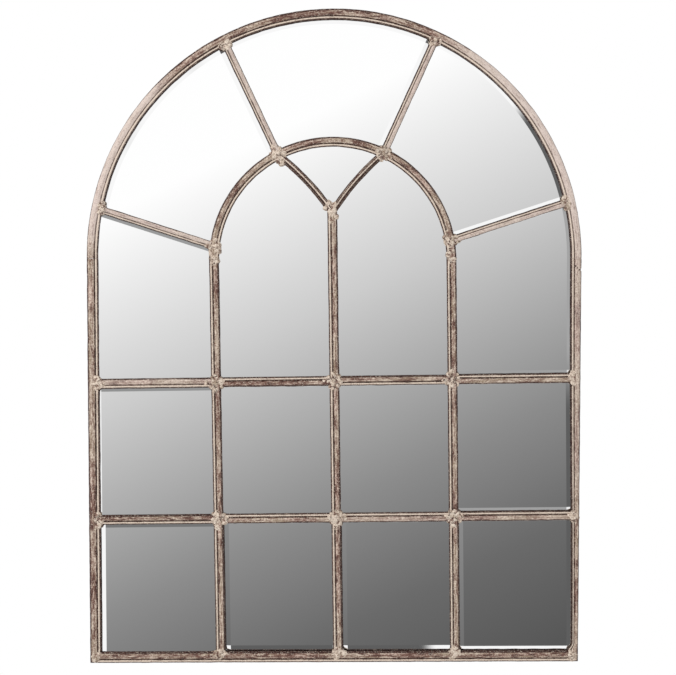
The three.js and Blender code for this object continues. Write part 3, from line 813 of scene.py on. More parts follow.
# %% Paint coordinates
def write_lay(piece, measure, wear=0.5, knot=0.0):
    """Stores the paint's coordinates: measure(x, height) gives mm along, across and inset."""
    lay, worn = [], []
    for vertex in piece.data.vertices:
        spot = measured(vertex.co)
        lay += [v * mm for v in measure(*spot)]
        worn.append(wear(*spot) if callable(wear) else wear)
    kept = piece.data.attributes
    kept.new("lay", "FLOAT_VECTOR", "POINT").data.foreach_set("vector", lay)
    kept.new("wear", "FLOAT", "POINT").data.foreach_set("value", worn)
    kept.new("knot", "FLOAT", "POINT").data.foreach_set("value", [knot] * len(worn))
    return piece


def along_line(start, end, kind, offset, scale=1.0):
    """How a straight bar measures a point for its paint: the bead lies at 0 across."""
    run = (Vector(end) - Vector(start)).normalized()

    def measure(x, height):
        gap = Vector((x, height)) - Vector(start)
        across = (gap.x * run.y - gap.y * run.x) / scale
        return gap.dot(run) + offset, across - BEAD_AT[kind], HALF_FACE[kind] - abs(across)
    return measure


def round_arc(centre, radius, kind, offset, bead=None, scale=1.0):
    """How a bent bar measures a point for its paint."""
    bead = BEAD_AT[kind] if bead is None else bead

    def measure(x, height):
        dx, dz = x - centre[0], height - centre[1]
        across = (math.hypot(dx, dz) - radius) / scale
        return math.atan2(dz, dx) * radius + offset, across - bead, HALF_FACE[kind] - abs(across)
    return measure


print("bead and half face of a bar:", BEAD_AT["bar"], HALF_FACE["bar"])

# %% [markdown]
# ## Weld knots
# Where bars cross, the maker built up weld and filler and painted over it. Each knot is a
# low lump with smaller lumps run out along the bars. Icospheres are set down, melted into
# one skin by a voxel remesh, smoothed a little, then pushed about by a blobby texture and
# cut flat where they rest against the backs of the faces.

# %% Lumps of weld
KNOT_RISE, VOXEL = 7.4, 0.8


def lump_at(x, out, height, wide, deep, tall):
    """One soft lump: an icosphere stretched to half sizes in mm."""
    bpy.ops.mesh.primitive_ico_sphere_add(subdivisions=3, radius=1, location=place(x, out, height))
    lump = bpy.context.object
    lump.scale = (wide * mm, deep * mm, tall * mm)
    return lump


def join(parts, name):
    """Makes one object of the parts, with its place and size written into its mesh."""
    whole = work_on(*parts)
    if len(parts) > 1:
        bpy.ops.object.join()
    whole.name = whole.data.name = name
    bpy.ops.object.transform_apply(location=True, rotation=True, scale=True)
    return whole


def melt_together(parts, name):
    """Joins lumps, melts them into one closed skin and softens it."""
    lump = join(parts, name)
    melt = lump.modifiers.new("melt", "REMESH")
    melt.mode, melt.voxel_size = "VOXEL", VOXEL * mm
    bpy.ops.object.modifier_apply(modifier=melt.name)
    soft = lump.modifiers.new("soft", "SMOOTH")
    soft.factor, soft.iterations = 0.5, 4
    bpy.ops.object.modifier_apply(modifier=soft.name)
    return lump


print("a knot rises", KNOT_RISE, "mm over the back of the faces")

# %% [markdown]
# ## A knot with its arms
# The welder ran a little bead out along every bar that meets there, and dabbed filler
# between the runs. Sines of a seed make the runs differ from knot to knot, and they come
# out the same each time the script runs.

# %% Knots
def knot_lump(name, x, height, wide, tall, arms, seed):
    """A knot of that half width and half height with runs of weld toward the arms."""
    parts = [lump_at(x, FACE_BACK, height, wide, KNOT_RISE, tall)]
    far = max(wide, tall)
    for i, degrees in enumerate(arms):
        swing = 0.5 + 0.5 * math.sin(2.3 * seed + 1.9 * i)
        ax, az = on_circle((x, height), far * (0.80 + 0.45 * swing), degrees)
        size = 5.6 + 2.2 * swing
        parts.append(lump_at(ax, FACE_BACK, az, size, KNOT_RISE * 0.93, size))
        slant = degrees + 45 + 14 * math.sin(5.1 * seed + i)
        bx, bz = on_circle((x, height), far * 0.88, slant)
        dab = 4.6 + 1.4 * swing
        parts.append(lump_at(bx, FACE_BACK, bz, dab, KNOT_RISE * 0.88, dab))
    lump = write_lay(melt_together(parts, name), lambda px, pz: (px * 0.7 + pz * 0.7, 6.0, 6.0), knot=1.0)
    roughen(lump, ("blobs", 3.6), ("brushing", 1.0))
    return trim(lump, place(0, KNOT_BACK, 0), (0, 1, 0))


def gather(name, node, parts):
    """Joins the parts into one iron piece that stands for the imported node."""
    piece = join(parts, name)
    bpy.ops.object.shade_smooth_by_angle(angle=math.radians(50))
    piece.data.materials.clear()
    piece.data.materials.append(iron_paint)
    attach(piece, "root")
    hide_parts(node)
    print(name, len(piece.data.polygons), "faces,", len(parts) - 1, "knots")
    return piece


print("knots are cut flat at", KNOT_BACK, "mm from the wall")

# %% [markdown]
# ## The frame
# One bent arch, two stiles and a foot rail, all of the same channel. The stiles and the
# foot rail are cut to a mitre, and the arch is butt welded to the stiles at its springing.
# The maker's channel was not even: it is a little narrower over the arch, and the right
# stile gets narrower toward the foot, with its outer edge kept true.

# %% Where the frame is narrower
HAMMER = (("dents", 0.9), ("brushing", 0.30))
JOINT = 0.3
ARCH_DRAW, ARCH_TURN = 0.08, 25
FOOT_SHARE, SPRING_GAIN, CORNER = 0.57, 0.35, 12


def smooth(share):
    """An even share turned into one that starts and ends gently."""
    share = max(0.0, min(1.0, share))
    return share * share * (3 - 2 * share)


def face_share(x, height, corner=True):
    """The share of its full face width that the frame keeps at a point."""
    if height > SPRING:
        degrees = math.degrees(math.atan2(height - SPRING, x))
        return 1 - ARCH_DRAW * smooth((180 - degrees) / ARCH_TURN)
    if x < 0:
        return 1.0
    taper = FOOT_SHARE + SPRING_GAIN * smooth(height / SPRING)
    return taper + (1 - taper) * (1 - smooth((height - FRAME_FACE) / CORNER)) * corner


def narrowed(x, height):
    """How far the frame's inner edge has drawn back in mm, leaving out its full foot corner."""
    return FRAME_FACE * (1 - face_share(x, height, False))


def draw_back(piece):
    """Narrows a length of frame toward its outer edge."""
    for vertex in piece.data.vertices:
        x, height = measured(vertex.co)
        share = face_share(x, height)
        if height > SPRING:
            reach = math.hypot(x, height - SPRING)
            scale = (HALF_WIDTH - (HALF_WIDTH - reach) * share) / reach
            x, height = x * scale, SPRING + (height - SPRING) * scale
        else:
            x = math.copysign(HALF_WIDTH - (HALF_WIDTH - abs(x)) * share, x)
        vertex.co.x, vertex.co.z = x * mm, FOOT_Z + height * mm
    return piece


print("right stile is", round(FRAME_FACE * face_share(HALF_WIDTH, 100), 1), "mm wide near its foot")

# %% [markdown]
# ## Where the frame is rubbed
# The finisher worked by hand, so the wear is uneven: heavy on the crown of the arch, light
# on its two shoulders, and heavier down the stiles. The butt weld between the arch and the
# right stile was filed only halfway and shows as a fine curved cut, which is pressed into
# the skin.

# %% Wear and the butt weld
# Pairs of an angle round the arch in degrees and the wear there.
ARCH_WEAR = ((0, 0.25), (14, 0.12), (50, 0.10), (72, 0.5), (92, 0.95), (112, 0.62), (128, 0.45),
             (140, 0.12), (168, 0.05), (180, 0.35))
FOOT_WEAR = 0.85
SEAM_DEEP, SEAM_UNDER, SEAM_DIP, SEAM_HALF = 1.5, 15, 6, 1.3
SEAM_STARTS, DIP_STARTS = 435, 438


def arch_wear(x, height):
    """The arch was rubbed hard at its crown and hardly at all on its two shoulders."""
    degrees = max(0.01, min(179.99, math.degrees(math.atan2(height - SPRING, x))))
    for (low, first), (high, second) in zip(ARCH_WEAR, ARCH_WEAR[1:]):
        if low <= degrees <= high:
            return first + (second - first) * (degrees - low) / (high - low)


def stile_wear(x, height):
    """Less paint was left toward the foot, and on the right stile only close to it."""
    by_knee, by_waist = smooth((height - 150) / 200), smooth((height - 480) / 260)
    if x > 0:
        return 0.66 - 0.33 * by_knee - 0.05 * by_waist
    return 0.82 - 0.24 * by_knee - 0.18 * by_waist


def butt_seam(x, height):
    """A dark curved cut across the outer side of the right stile, just under the arch."""
    line = SPRING - SEAM_UNDER - SEAM_DIP * smooth((x - DIP_STARTS) / 8)
    return SEAM_DEEP * smooth(1.6 - abs(height - line) / SEAM_HALF) * smooth((x - SEAM_STARTS) / 2)


print("wear at the crown:", round(arch_wear(0, SPRING + R_FRAME), 2))

# %% [markdown]
# ## Bending the arch
# The arch is the frame's section spun through half a turn, as a rolled length is bent round
# a former. It is measured, hammered and only then drawn narrower, so that the paint's bands
# keep their places on the narrower face.

# %% The outer arch
SPOKE_HEAD_KNOT = 7.0
arch_lay = round_arc((0, SPRING), R_FRAME, "frame", 0)
arch = bent("outer_arch_iron", frame_loop, (0, SPRING), R_FRAME, 0, 180)
draw_back(roughen(write_lay(arch, arch_lay, arch_wear), *HAMMER))
lumps = []
for i, (name, (_, outer)) in enumerate(SPOKES.items()):
    spot = on_circle((0, SPRING), R_FRAME - FRAME_FACE / 3 + 1, outer)
    arms = (outer + 180, outer + 90, outer - 90)
    lumps.append(knot_lump(name + "_weld", *spot, SPOKE_HEAD_KNOT, SPOKE_HEAD_KNOT, arms, 40 + i))
gather("outer_arch_iron", "outer_arch", [arch] + lumps)

# %% [markdown]
# ## Standing the stiles
# Each stile is a straight pull, cut at its foot along the mitre. A joint of 0.3 mm is left
# open, as when the lengths are set out on a bench. Knots sit where the rails land, and a
# flat pad of weld fills the corner of the foot.

# %% The two stiles
STILE_KNOT = {"left": 9.0, "right": 7.0}
CORNER_X, CORNER_HEIGHT, CORNER_PAD = 438.5, 11.5, 11.5
for sign, hand in ((-1, "left"), (1, "right")):
    top, bottom = (sign * R_FRAME, SPRING - JOINT), (sign * R_FRAME, -FRAME_FACE)
    ends = (bottom, top) if sign > 0 else (top, bottom)
    stile = straight(f"stile_{hand}_iron", frame_loop, *ends)
    write_lay(stile, along_line(*ends, "frame", 2000 * (2 + sign)), stile_wear)
    roughen(stile, *HAMMER, seam=butt_seam if sign > 0 else None)
    trim(stile, place(sign * (R_FRAME - JOINT / 2), 0, FRAME_FACE / 2 + JOINT / 2), (-sign, 0, -1))
    draw_back(stile)
    size, arms = STILE_KNOT[hand], (90 + 90 * sign, 90, 270)
    lumps = []
    for i, rail in enumerate(RAILS):
        x = sign * (HALF_WIDTH - FRAME_FACE + 5 + narrowed(sign * HALF_WIDTH, RAILS[rail][0]))
        lumps.append(knot_lump(f"{rail}_weld", x, rail_z(rail, x), size, size, arms, 3 + i + sign))
    pad = (sign * CORNER_X, CORNER_HEIGHT, CORNER_PAD, CORNER_PAD)
    lumps.append(knot_lump("corner_weld", *pad, (), 70 + sign))
    gather(f"stile_{hand}_iron", f"stile_{hand}", [stile] + lumps)

# %% [markdown]
# ## The foot rail
# The foot is pulled a little too long and cut back to both mitres, because a cut makes a
# truer corner than a pull that stops there. The mullions' knots stand on it.

# %% The foot rail
FOOT_KNOT, FOOT_SPARE = 9.5, 5
ends = ((-HALF_WIDTH - FOOT_SPARE, FRAME_FACE / 2), (HALF_WIDTH + FOOT_SPARE, FRAME_FACE / 2))
foot = straight("foot_rail_iron", foot_loop, *ends)
roughen(write_lay(foot, along_line(*ends, "frame", 9000, scale=-1), FOOT_WEAR), *HAMMER)
for sign in (-1, 1):
    trim(foot, place(sign * (R_FRAME - JOINT / 2), 0, FRAME_FACE / 2 - JOINT / 2), (sign, 0, 1))
lumps = [knot_lump(f"{name}_foot_weld", mullion_x(column, 10), FRAME_FACE - 6, FOOT_KNOT, FOOT_KNOT,
                   (90, 0, 180), 11 + column) for name, column in MULLIONS.items()]
gather("foot_rail_iron", "foot_rail", [foot] + lumps)

# %% [markdown]
# ## The lattice
# The inner arch stands on the outer mullions. Each bar of the lattice runs a little way
# into its neighbours, where a knot covers the joint. That is easier than fitting every end,
# and it is also how a welder works: the gaps are filled, not filed.

# %% The inner arch
ARCH_KNOT, SPRING_KNOT = 12, (9.5, 6)
inner_arch = bent("inner_arch_iron", bar_loop, INNER, BAY, 0, 180)
roughen(write_lay(inner_arch, round_arc(INNER, BAY, "bar", 500), 0.45), *HAMMER)
lumps = []
for i, (name, (inner, _)) in enumerate(SPOKES.items()):
    spot = on_circle(INNER, BAY, inner)
    arms = [inner, inner + 90, inner - 90] + ([inner + 180] if "high" in name else [])
    lumps.append(knot_lump(f"{name}_foot_weld", *spot, ARCH_KNOT, ARCH_KNOT, arms, 30 + i))
for sign in (-1, 1):
    spot = (INNER[0] + sign * BAY, INNER[1] + 5)
    lumps.append(knot_lump("spring_weld", *spot, *SPRING_KNOT, (90, 270), 60 + sign))
gather("inner_arch_iron", "inner_arch", [inner_arch] + lumps)

# %% [markdown]
# ## Mullions
# The mullions run through from the foot and carry the biggest knots, where the rails are
# welded to both of their sides. The centre one is taller and forks at its top.

# %% The three mullions
CROSSING, FORK_KNOT, FORK_LIFT = 13.0, (9.5, 15), 4
for name, column in MULLIONS.items():
    top = FORK_HEIGHT if column == 0 else INNER[1]
    ends = ((mullion_x(column, FRAME_FACE - 1), FRAME_FACE - 1), (mullion_x(column, top), top))
    bar = straight(f"{name}_iron", bar_loop, *ends)
    roughen(write_lay(bar, along_line(*ends, "bar", 3000 * (3 + column)), 0.55), *HAMMER)
    lumps = []
    for i, rail in enumerate(RAILS):
        height = rail_z(rail, mullion_x(column, RAILS[rail][0]))
        spot = (mullion_x(column, height), height)
        lumps.append(knot_lump(f"{rail}_crossing", *spot, CROSSING, CROSSING,
                               (0, 90, 180, 270), 20 + 3 * column + i))
    if column == 0:
        spot = (FORK[0], FORK[1] + FORK_LIFT)
        lumps.append(knot_lump("fork_weld", *spot, *FORK_KNOT, (60, 120, 270), 51))
    gather(f"{name}_iron", name, [bar] + lumps)

# %% [markdown]
# ## Rails
# A rail is four short bars, one to a bay, between the mullions. The welder didn't mind
# which way up a bar went in, so its bead is at the top in some bays and at the bottom in
# others, and each bar was rubbed to a different degree.

# %% Eight short rails
RAIL_WEAR = {"rail_lower": (0.95, 0.40, 0.33, 0.36), "rail_upper": (0.30, 0.90, 0.58, 0.50)}
BEAD_ON_TOP = {"rail_lower": (False, True, True, True), "rail_upper": (False, True, False, True)}
BAR_TUCK, STILE_TUCK_LEFT, STILE_TUCK_RIGHT = 1, 1, 3
for rail in RAILS:
    stops = [-HALF_WIDTH + FRAME_FACE - STILE_TUCK_LEFT]
    for column in MULLIONS.values():
        middle, half = mullion_x(column, RAILS[rail][0]), BAR_FACE / 2 - BAR_TUCK
        stops += [middle - half, middle + half]
    stops.append(HALF_WIDTH - FRAME_FACE + STILE_TUCK_RIGHT + narrowed(HALF_WIDTH, RAILS[rail][0]))
    for bay in range(4):
        x0, x1 = stops[2 * bay], stops[2 * bay + 1]
        ends = ((x1, rail_z(rail, x1)), (x0, rail_z(rail, x0)))
        if BEAD_ON_TOP[rail][bay]:
            ends = ends[::-1]
        bar = straight(f"{rail}_{bay + 1}_iron", bar_loop, *ends)
        measure = along_line(*ends, "bar", 1000 * bay + RAILS[rail][0])
        roughen(write_lay(bar, measure, RAIL_WEAR[rail][bay]), *HAMMER)
        gather(f"{rail}_{bay + 1}_iron", f"{rail}_{bay + 1}", [bar])

# %% [markdown]
# ## Spokes and tracery arms
# These are the slim bars. Spokes are straight and hardly rubbed. The arms are bowed, so
# they are spun like the arches, and trimmed where they meet over the fork.

# %% Four spokes and two arms
SPOKE_WEAR, ARM_WEAR, ARM_BEAD = 0.22, 0.6, 1.0
for i, name in enumerate(SPOKES):
    inner_end, outer_end = (Vector(end) for end in spoke_ends(name))
    run = (outer_end - inner_end).normalized()
    ends = (inner_end + run * (BAR_FACE / 2 - 1), outer_end - run * (FRAME_FACE / 2 - 3))
    bar = straight(f"{name}_iron", slim_loop, *ends)
    measure = along_line(*ends, "bar", 700 * i + 150, scale=SLIM)
    roughen(write_lay(bar, measure, SPOKE_WEAR), *HAMMER)
    gather(f"{name}_iron", name, [bar])

for side, hand in ((-1, "left"), (1, "right")):
    centre, radius, low, high = arm_circle(side)
    angles = [math.degrees(math.atan2(end.y - centre.y, end.x - centre.x)) for end in (low, high)]
    bar = bent(f"arm_{hand}_iron", slim_loop, centre, radius, *angles)
    measure = round_arc(centre, radius, "bar", 800 * side, bead=ARM_BEAD, scale=SLIM)
    roughen(write_lay(bar, measure, ARM_WEAR), *HAMMER)
    trim(bar, place(FORK[0] + side * JOINT / 2, 0, 0), (-side, 0, 0))
    gather(f"arm_{hand}_iron", f"arm_{hand}", [bar])

for loop in (bar_loop, slim_loop, frame_loop, foot_loop):
    bpy.data.objects.remove(loop)

# %% [markdown]
# ## Mirror panes
# Sixteen panes of silvered glass, each ground to a bevel along its edges and pressed from
# behind against the bars. Their flats show one grey gradient, and the bevels look to the
# side, so some edges show as white or dark strips with a small square where two bevels
# cross. The panes were set a little unevenly, and a bevel shows where its pane slipped
# away from the bar. A pane's outline follows its bars, so every edge is given by a
# function: how far a point lies from the middle line of that bar.

# %% Distances from the bars
SHY, BURIED = 3.8, 0.4


def from_frame(x, z):
    """How far inside the frame's middle line a point is, as if the face had its full width."""
    return R_FRAME - (math.hypot(x, z - SPRING) if z > SPRING else abs(x)) + narrowed(x, z)


def from_foot(x, z):
    """From the middle line of the foot rail, upwards."""
    return z - FRAME_FACE / 2


def above(rail, sign=1):
    """From a rail's middle line, upwards, or downwards with sign -1."""
    return lambda x, z: sign * (z - rail_z(rail, x))


def right_of(column, sign=1):
    """From a mullion's middle line, to the right, or to the left with sign -1."""
    return lambda x, z: sign * (x - mullion_x(column, z))


def outside_inner(sign=1):
    """From the inner arch, and below its springing from the mullions that carry it."""
    def reach(x, z):
        if z > INNER[1]:
            return sign * (math.hypot(x - INNER[0], z - INNER[1]) - BAY)
        column = -1 if x < INNER[0] else 1
        return sign * column * (x - mullion_x(column, z))
    return reach


def outside_arm(side, sign=1):
    """From a tracery arm's middle line, away from the centre of its bow."""
    centre, radius = arm_circle(side)[:2]
    return lambda x, z: sign * (math.hypot(x - centre.x, z - centre.y) - radius)


def past_spoke(name, sign=1):
    """From a spoke's middle line, positive on its anticlockwise side."""
    foot, head = (Vector(end) for end in spoke_ends(name))
    run = (head - foot).normalized()
    return lambda x, z: sign * ((z - foot.y) * run.x - (x - foot.x) * run.y)


print("a point over the lower rail lies", round(above("rail_lower")(0, 300), 1), "mm from it")

# %% [markdown]
# ## Finding corners by settling
# Working out where a leaning line meets an arc needs a different sum for every pair. It is
# easier to start near the corner and take a few steps downhill on both distances at once,
# which is Newton's method and works for any pair of edges.

# %% Settling a point on its lines
def slope_of(reach, x, z):
    """The direction in which the distance grows."""
    nudge = 0.01
    across = (reach(x + nudge, z) - reach(x - nudge, z)) / (2 * nudge)
    up = (reach(x, z + nudge) - reach(x, z - nudge)) / (2 * nudge)
    return Vector((across, up))


def settle(point, *lines):
    """Moves a point onto one line, or onto the crossing of two: pairs of reach and inset."""
    point = Vector(point)
    for _ in range(14):
        gaps = [reach(*point) - inset for reach, inset in lines]
        slopes = [slope_of(reach, *point) for reach, _ in lines]
        if len(lines) == 1:
            point -= slopes[0] * gaps[0] / slopes[0].length_squared
        else:
            point -= Matrix(slopes).inverted() @ Vector(gaps)
    return point


landed = settle((200, 300), (above("rail_lower"), 0), (right_of(1), 0))
print("lower rail and right mullion cross at", [round(v, 1) for v in landed])

# %% [markdown]
# ## The flat of a pane
# The flat starts as a round disc whose rim is pulled into the outline. Each bevel will be
# the flat's edge extruded outwards and down, so the outline gets a point every few
# millimetres, close enough to follow the arches.

# %% Outline and flat
FLAT_OUT = FACE_BACK - 0.1
STEEP, GENTLE = 0.2, 0.03
OUTLINE_STEP, SAME_POINT, WELD_WITHIN = 4, 0.01, 0.02


def pull_edges(piece, chosen):
    """Extrudes the edges between the chosen vertices on the spot; the copies stay selected."""
    work_on(piece)
    bpy.ops.object.mode_set(mode="EDIT")
    bpy.ops.mesh.select_all(action="DESELECT")
    bpy.ops.object.mode_set(mode="OBJECT")
    for index in chosen:
        piece.data.vertices[index].select = True
    bpy.ops.object.mode_set(mode="EDIT")
    bpy.ops.mesh.extrude_edges_move()
    bpy.ops.object.mode_set(mode="OBJECT")
    return [vertex.index for vertex in piece.data.vertices if vertex.select]


def edge_points(turns, bevel):
    """Points along the flat's outline, and where in their list each edge starts."""
    outline, starts = [], []
    for i, line in enumerate(bevel):
        first, last = turns[i], turns[(i + 1) % len(turns)]
        steps = max(2, round((last - first).length / OUTLINE_STEP))
        starts.append(len(outline))
        outline += [settle(first.lerp(last, k / steps), line) for k in range(steps)]
    return outline, starts


def disc(outline):
    """A round disc with its rim pulled into the outline."""
    bpy.ops.object.select_all(action="DESELECT")
    bpy.ops.mesh.primitive_circle_add(vertices=len(outline), fill_type="NGON")
    piece = bpy.context.object
    for vertex, spot in zip(piece.data.vertices, outline):
        vertex.co = place(spot.x, FLAT_OUT, spot.y)
    return piece


print("flats lie", FLAT_OUT, "mm out from the wall")

# %% [markdown]
# ## Bevels, corners and the back of a pane
# A Bevel modifier gives every edge the same slope and lets none of them hide under a bar,
# so each edge is ground for itself. Where two bevels meet, the corner is the first bevel's
# end extruded along the second, so both falls add up as they do under a grinding wheel that
# runs straight across. The rim is then extruded to the back and closed.

# %% Grinding and closing
def grind(piece, turns, starts, rim, bevel, falls):
    """Extrudes each edge out to the rim and down by its fall; returns the bevels' end points."""
    count, total = len(turns), len(piece.data.vertices)
    ends = {}
    for i in range(count):
        stop = starts[i + 1] if i + 1 < count else total
        for index in pull_edges(piece, [k % total for k in range(starts[i], stop + 1)]):
            vertex = piece.data.vertices[index]
            spot = Vector(measured(vertex.co))
            target = settle(spot, rim[i])
            for turn, other in ((i, i - 1), ((i + 1) % count, (i + 1) % count)):
                if (spot - turns[turn]).length < SAME_POINT:
                    target = settle(target, rim[i], bevel[other])
                    ends[i, turn] = index
            vertex.co = place(target.x, FLAT_OUT - falls[i], target.y)
    return ends


def fill_corners(piece, turns, starts, ends):
    """Extrudes the end of one bevel along the next, at every corner."""
    for turn, spot in enumerate(turns):
        near, far = ends[(turn - 1) % len(turns), turn], ends[turn, turn]
        along = piece.data.vertices[far].co - place(spot.x, FLAT_OUT, spot.y)
        for index in pull_edges(piece, [starts[turn], near]):
            piece.data.vertices[index].co += along


def close_back(piece):
    """Welds the corners, extrudes the rim to the back of the glass and closes it."""
    work_on(piece)
    bpy.ops.object.mode_set(mode="EDIT")
    bpy.ops.mesh.select_all(action="SELECT")
    bpy.ops.mesh.remove_doubles(threshold=WELD_WITHIN * mm)
    bpy.ops.mesh.select_all(action="DESELECT")
    bpy.ops.mesh.select_non_manifold()
    bpy.ops.mesh.extrude_edges_move()
    bpy.ops.transform.resize(value=(1, 0, 1), center_override=place(0, GLASS_BACK, 0))
    bpy.ops.mesh.edge_face_add()
    bpy.ops.mesh.select_all(action="SELECT")
    bpy.ops.mesh.normals_make_consistent(inside=False)
    bpy.ops.object.mode_set(mode="OBJECT")


print("a bevel falls", round(STEEP * 10, 1), "mm over 10 mm")

# %% [markdown]
# ## Mirror glass
# A front-silvered look is enough: pure metal with a hint of grey, and a faint haze in its
# gloss, because old silver is never quite even. Real glass over a silver layer would double
# every edge and cost long renders without showing at this distance.

# %% Mirror finish and the finished pane
mirror = bpy.data.materials.new("silvered_glass")
mirror.use_nodes = True
silver = mirror.node_tree.nodes["Principled BSDF"]
silver.inputs["Base Color"].default_value = (0.93, 0.93, 0.93, 1)
silver.inputs["Metallic"].default_value = 1.0
haze = Wire(mirror.node_tree)
haze = grain(haze.node("TexCoord", out=3), 0.06, 3) * 0.02 + 0.004
mirror.node_tree.links.new(haze.socket, silver.inputs["Roughness"])


def pane(name, edges, corners):
    """Edges run counter-clockwise from the first corner: reach, kind, strip that shows, tilt."""
    bevel = [(reach, HALF_FACE[kind] + shown) for reach, kind, shown, _ in edges]
    rim = [(reach, HALF_FACE[kind] - SHY) for reach, kind, _, _ in edges]
    falls = [tilt * (SHY + shown) for _, _, shown, tilt in edges]
    turns = [settle(spot, bevel[i - 1], bevel[i]) for i, spot in enumerate(corners)]
    outline, starts = edge_points(turns, bevel)
    piece = disc(outline)
    ends = grind(piece, turns, starts, rim, bevel, falls)
    fill_corners(piece, turns, starts, ends)
    close_back(piece)
    piece.name = piece.data.name = name + "_glass"
    bpy.ops.object.transform_apply(location=True, rotation=True, scale=True)
    bpy.ops.object.shade_smooth_by_angle(angle=math.radians(1))
    piece.data.materials.append(mirror)
    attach(piece, "root")
    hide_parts(name)
    return piece


print("mirror nodes:", len(mirror.node_tree.nodes))

# %% [markdown]
# ## Setting the panes
# The two rows below the upper rail are plain four-sided panes. A pane that slipped when it
# was set shows its bevel on one side and hides it on the other. The number with each edge
# is how much of that bevel shows, in millimetres, and an edge that isn't named shows none.

# %% The two lower rows
SHOWN = {
    "pane_bottom_1": {"left": 9.0, "top": 5.5},
    "pane_bottom_2": {"left": 9.5, "bottom": 10.5},
    "pane_bottom_3": {"left": 9.0, "bottom": 10.0},
    "pane_bottom_4": {"left": 8.0, "bottom": 8.0, "right": 9.5},
    "pane_middle_1": {"left": 3.0, "top": 5.5},
    "pane_middle_4": {"bottom": 6.5, "right": 9.0},
    "pane_tall_1": {"top": 6.0},
    "pane_tall_4": {"right": 7.0, "bottom": 6.0},
    "pane_fan_left": {"first": 9.0, "frame": 9.0},
    "pane_fan_top": {"first": 8.0, "frame": 8.0},
    "pane_fan_right": {"first": 7.0, "frame": 7.0},
}


def edge(name, where, reach, kind="bar"):
    """One edge of a pane; where a bevel doesn't show, it is gentle and buried under the bar."""
    shown = SHOWN.get(name, {}).get(where)
    return (reach, kind, BURIED, GENTLE) if shown is None else (reach, kind, shown, STEEP)


def corner(left, level, foot):
    """Where a mullion or stile crosses a rail or the foot, on their middle lines."""
    height = FRAME_FACE / 2 if foot else rail_z(level, 0)
    x = left * R_FRAME if abs(left) == 2 else mullion_x(left, height)
    x = max(-R_FRAME, min(R_FRAME, x))
    return Vector((x, height if foot else rail_z(level, x)))


def beside(column, sign):
    """The upright beside a bay: a stile at the ends, a mullion between."""
    if abs(column) == 2:
        return from_frame, "frame"
    return right_of(column, sign), "bar"


glass = []
for bay in range(4):
    left, right = bay - 2, bay - 1
    for row, low, high in (("bottom", None, "rail_lower"), ("middle", "rail_lower", "rail_upper")):
        name = f"pane_{row}_{bay + 1}"
        level = (from_foot, "frame") if low is None else (above(low), "bar")
        edges = [
            edge(name, "bottom", *level),
            edge(name, "right", *beside(right, -1)),
            edge(name, "top", above(high, -1)),
            edge(name, "left", *beside(left, 1)),
        ]
        lower = [corner(column, low, low is None) for column in (left, right)]
        upper = [corner(column, high, False) for column in (right, left)]
        glass.append(pane(name, edges, lower + upper))
print("panes set:", len(glass))

# %% [markdown]
# ## Tall panes
# The outer two end in a spoke. The inner two are lancets, which end in the point between
# the inner arch and a tracery arm. Each pair is described once, for the left, and turned
# round for the right, because edges have to run counter-clockwise on both sides.

# %% Tall panes
def for_hand(sign, edges, corners):
    """A left pane's edges and corners as they are, or in the order of its right-hand twin."""
    if sign < 0:
        return edges, corners
    first, *others = edges
    outer, inner, head, tip = corners
    return [first] + others[::-1], [inner, outer, tip, head]


TALL_FOOT = "rail_upper"
for sign, number, spoke in ((-1, 1, "spoke_low_left"), (1, 4, "spoke_low_right")):
    name = f"pane_tall_{number}"
    outward, inward = ("left", "right") if sign < 0 else ("right", "left")
    inner_end, outer_end = (Vector(end) for end in spoke_ends(spoke))
    edges = [
        edge(name, "bottom", above(TALL_FOOT)),
        edge(name, inward, outside_inner()),
        edge(name, "top", past_spoke(spoke, -sign), "slim"),
        edge(name, outward, from_frame, "frame"),
    ]
    feet_at = [corner(2 * sign, TALL_FOOT, False), corner(sign, TALL_FOOT, False)]
    glass.append(pane(name, *for_hand(sign, edges, feet_at + [inner_end, outer_end])))

for sign, number, spoke in ((-1, 2, "spoke_high_left"), (1, 3, "spoke_high_right")):
    name = f"pane_tall_{number}"
    edges = [
        edge(name, "bottom", above(TALL_FOOT)),
        edge(name, "stem", right_of(0, sign)),
        edge(name, "arm", outside_arm(sign, -1), "slim"),
        edge(name, "top", outside_inner(-1)),
    ]
    feet_at = [corner(sign, TALL_FOOT, False), corner(0, TALL_FOOT, False)]
    tips = [Vector(FORK), Vector(spoke_ends(spoke)[0])]
    glass.append(pane(name, *for_hand(sign, edges, feet_at + tips)))
print("panes set:", len(glass))

# %% [markdown]
# ## The head of the window
# Three fan panes lie between two spokes, the inner arch and the frame, and the small
# tracery pane is held by the two arms and the crown of the inner arch.

# %% Fan and tracery
feet = {name: Vector(spoke_ends(name)[0]) for name in SPOKES}
heads = {name: Vector(spoke_ends(name)[1]) for name in SPOKES}
low_left, high_left, high_right, low_right = SPOKES
glass.append(pane("pane_tracery", [
    edge("pane_tracery", "right", outside_arm(1), "slim"),
    edge("pane_tracery", "top", outside_inner(-1)),
    edge("pane_tracery", "left", outside_arm(-1), "slim"),
], [FORK, feet[high_right], feet[high_left]]))

FANS = {
    "pane_fan_left": (high_left, low_left),
    "pane_fan_top": (high_right, high_left),
    "pane_fan_right": (low_right, high_right),
}
for name, (first, second) in FANS.items():
    glass.append(pane(name, [
        edge(name, "first", past_spoke(first), "slim"),
        edge(name, "frame", from_frame, "frame"),
        edge(name, "second", past_spoke(second, -1), "slim"),
        edge(name, "inner", outside_inner()),
    ], [feet[first], heads[first], heads[second], feet[second]]))
print("panes set:", len(glass))

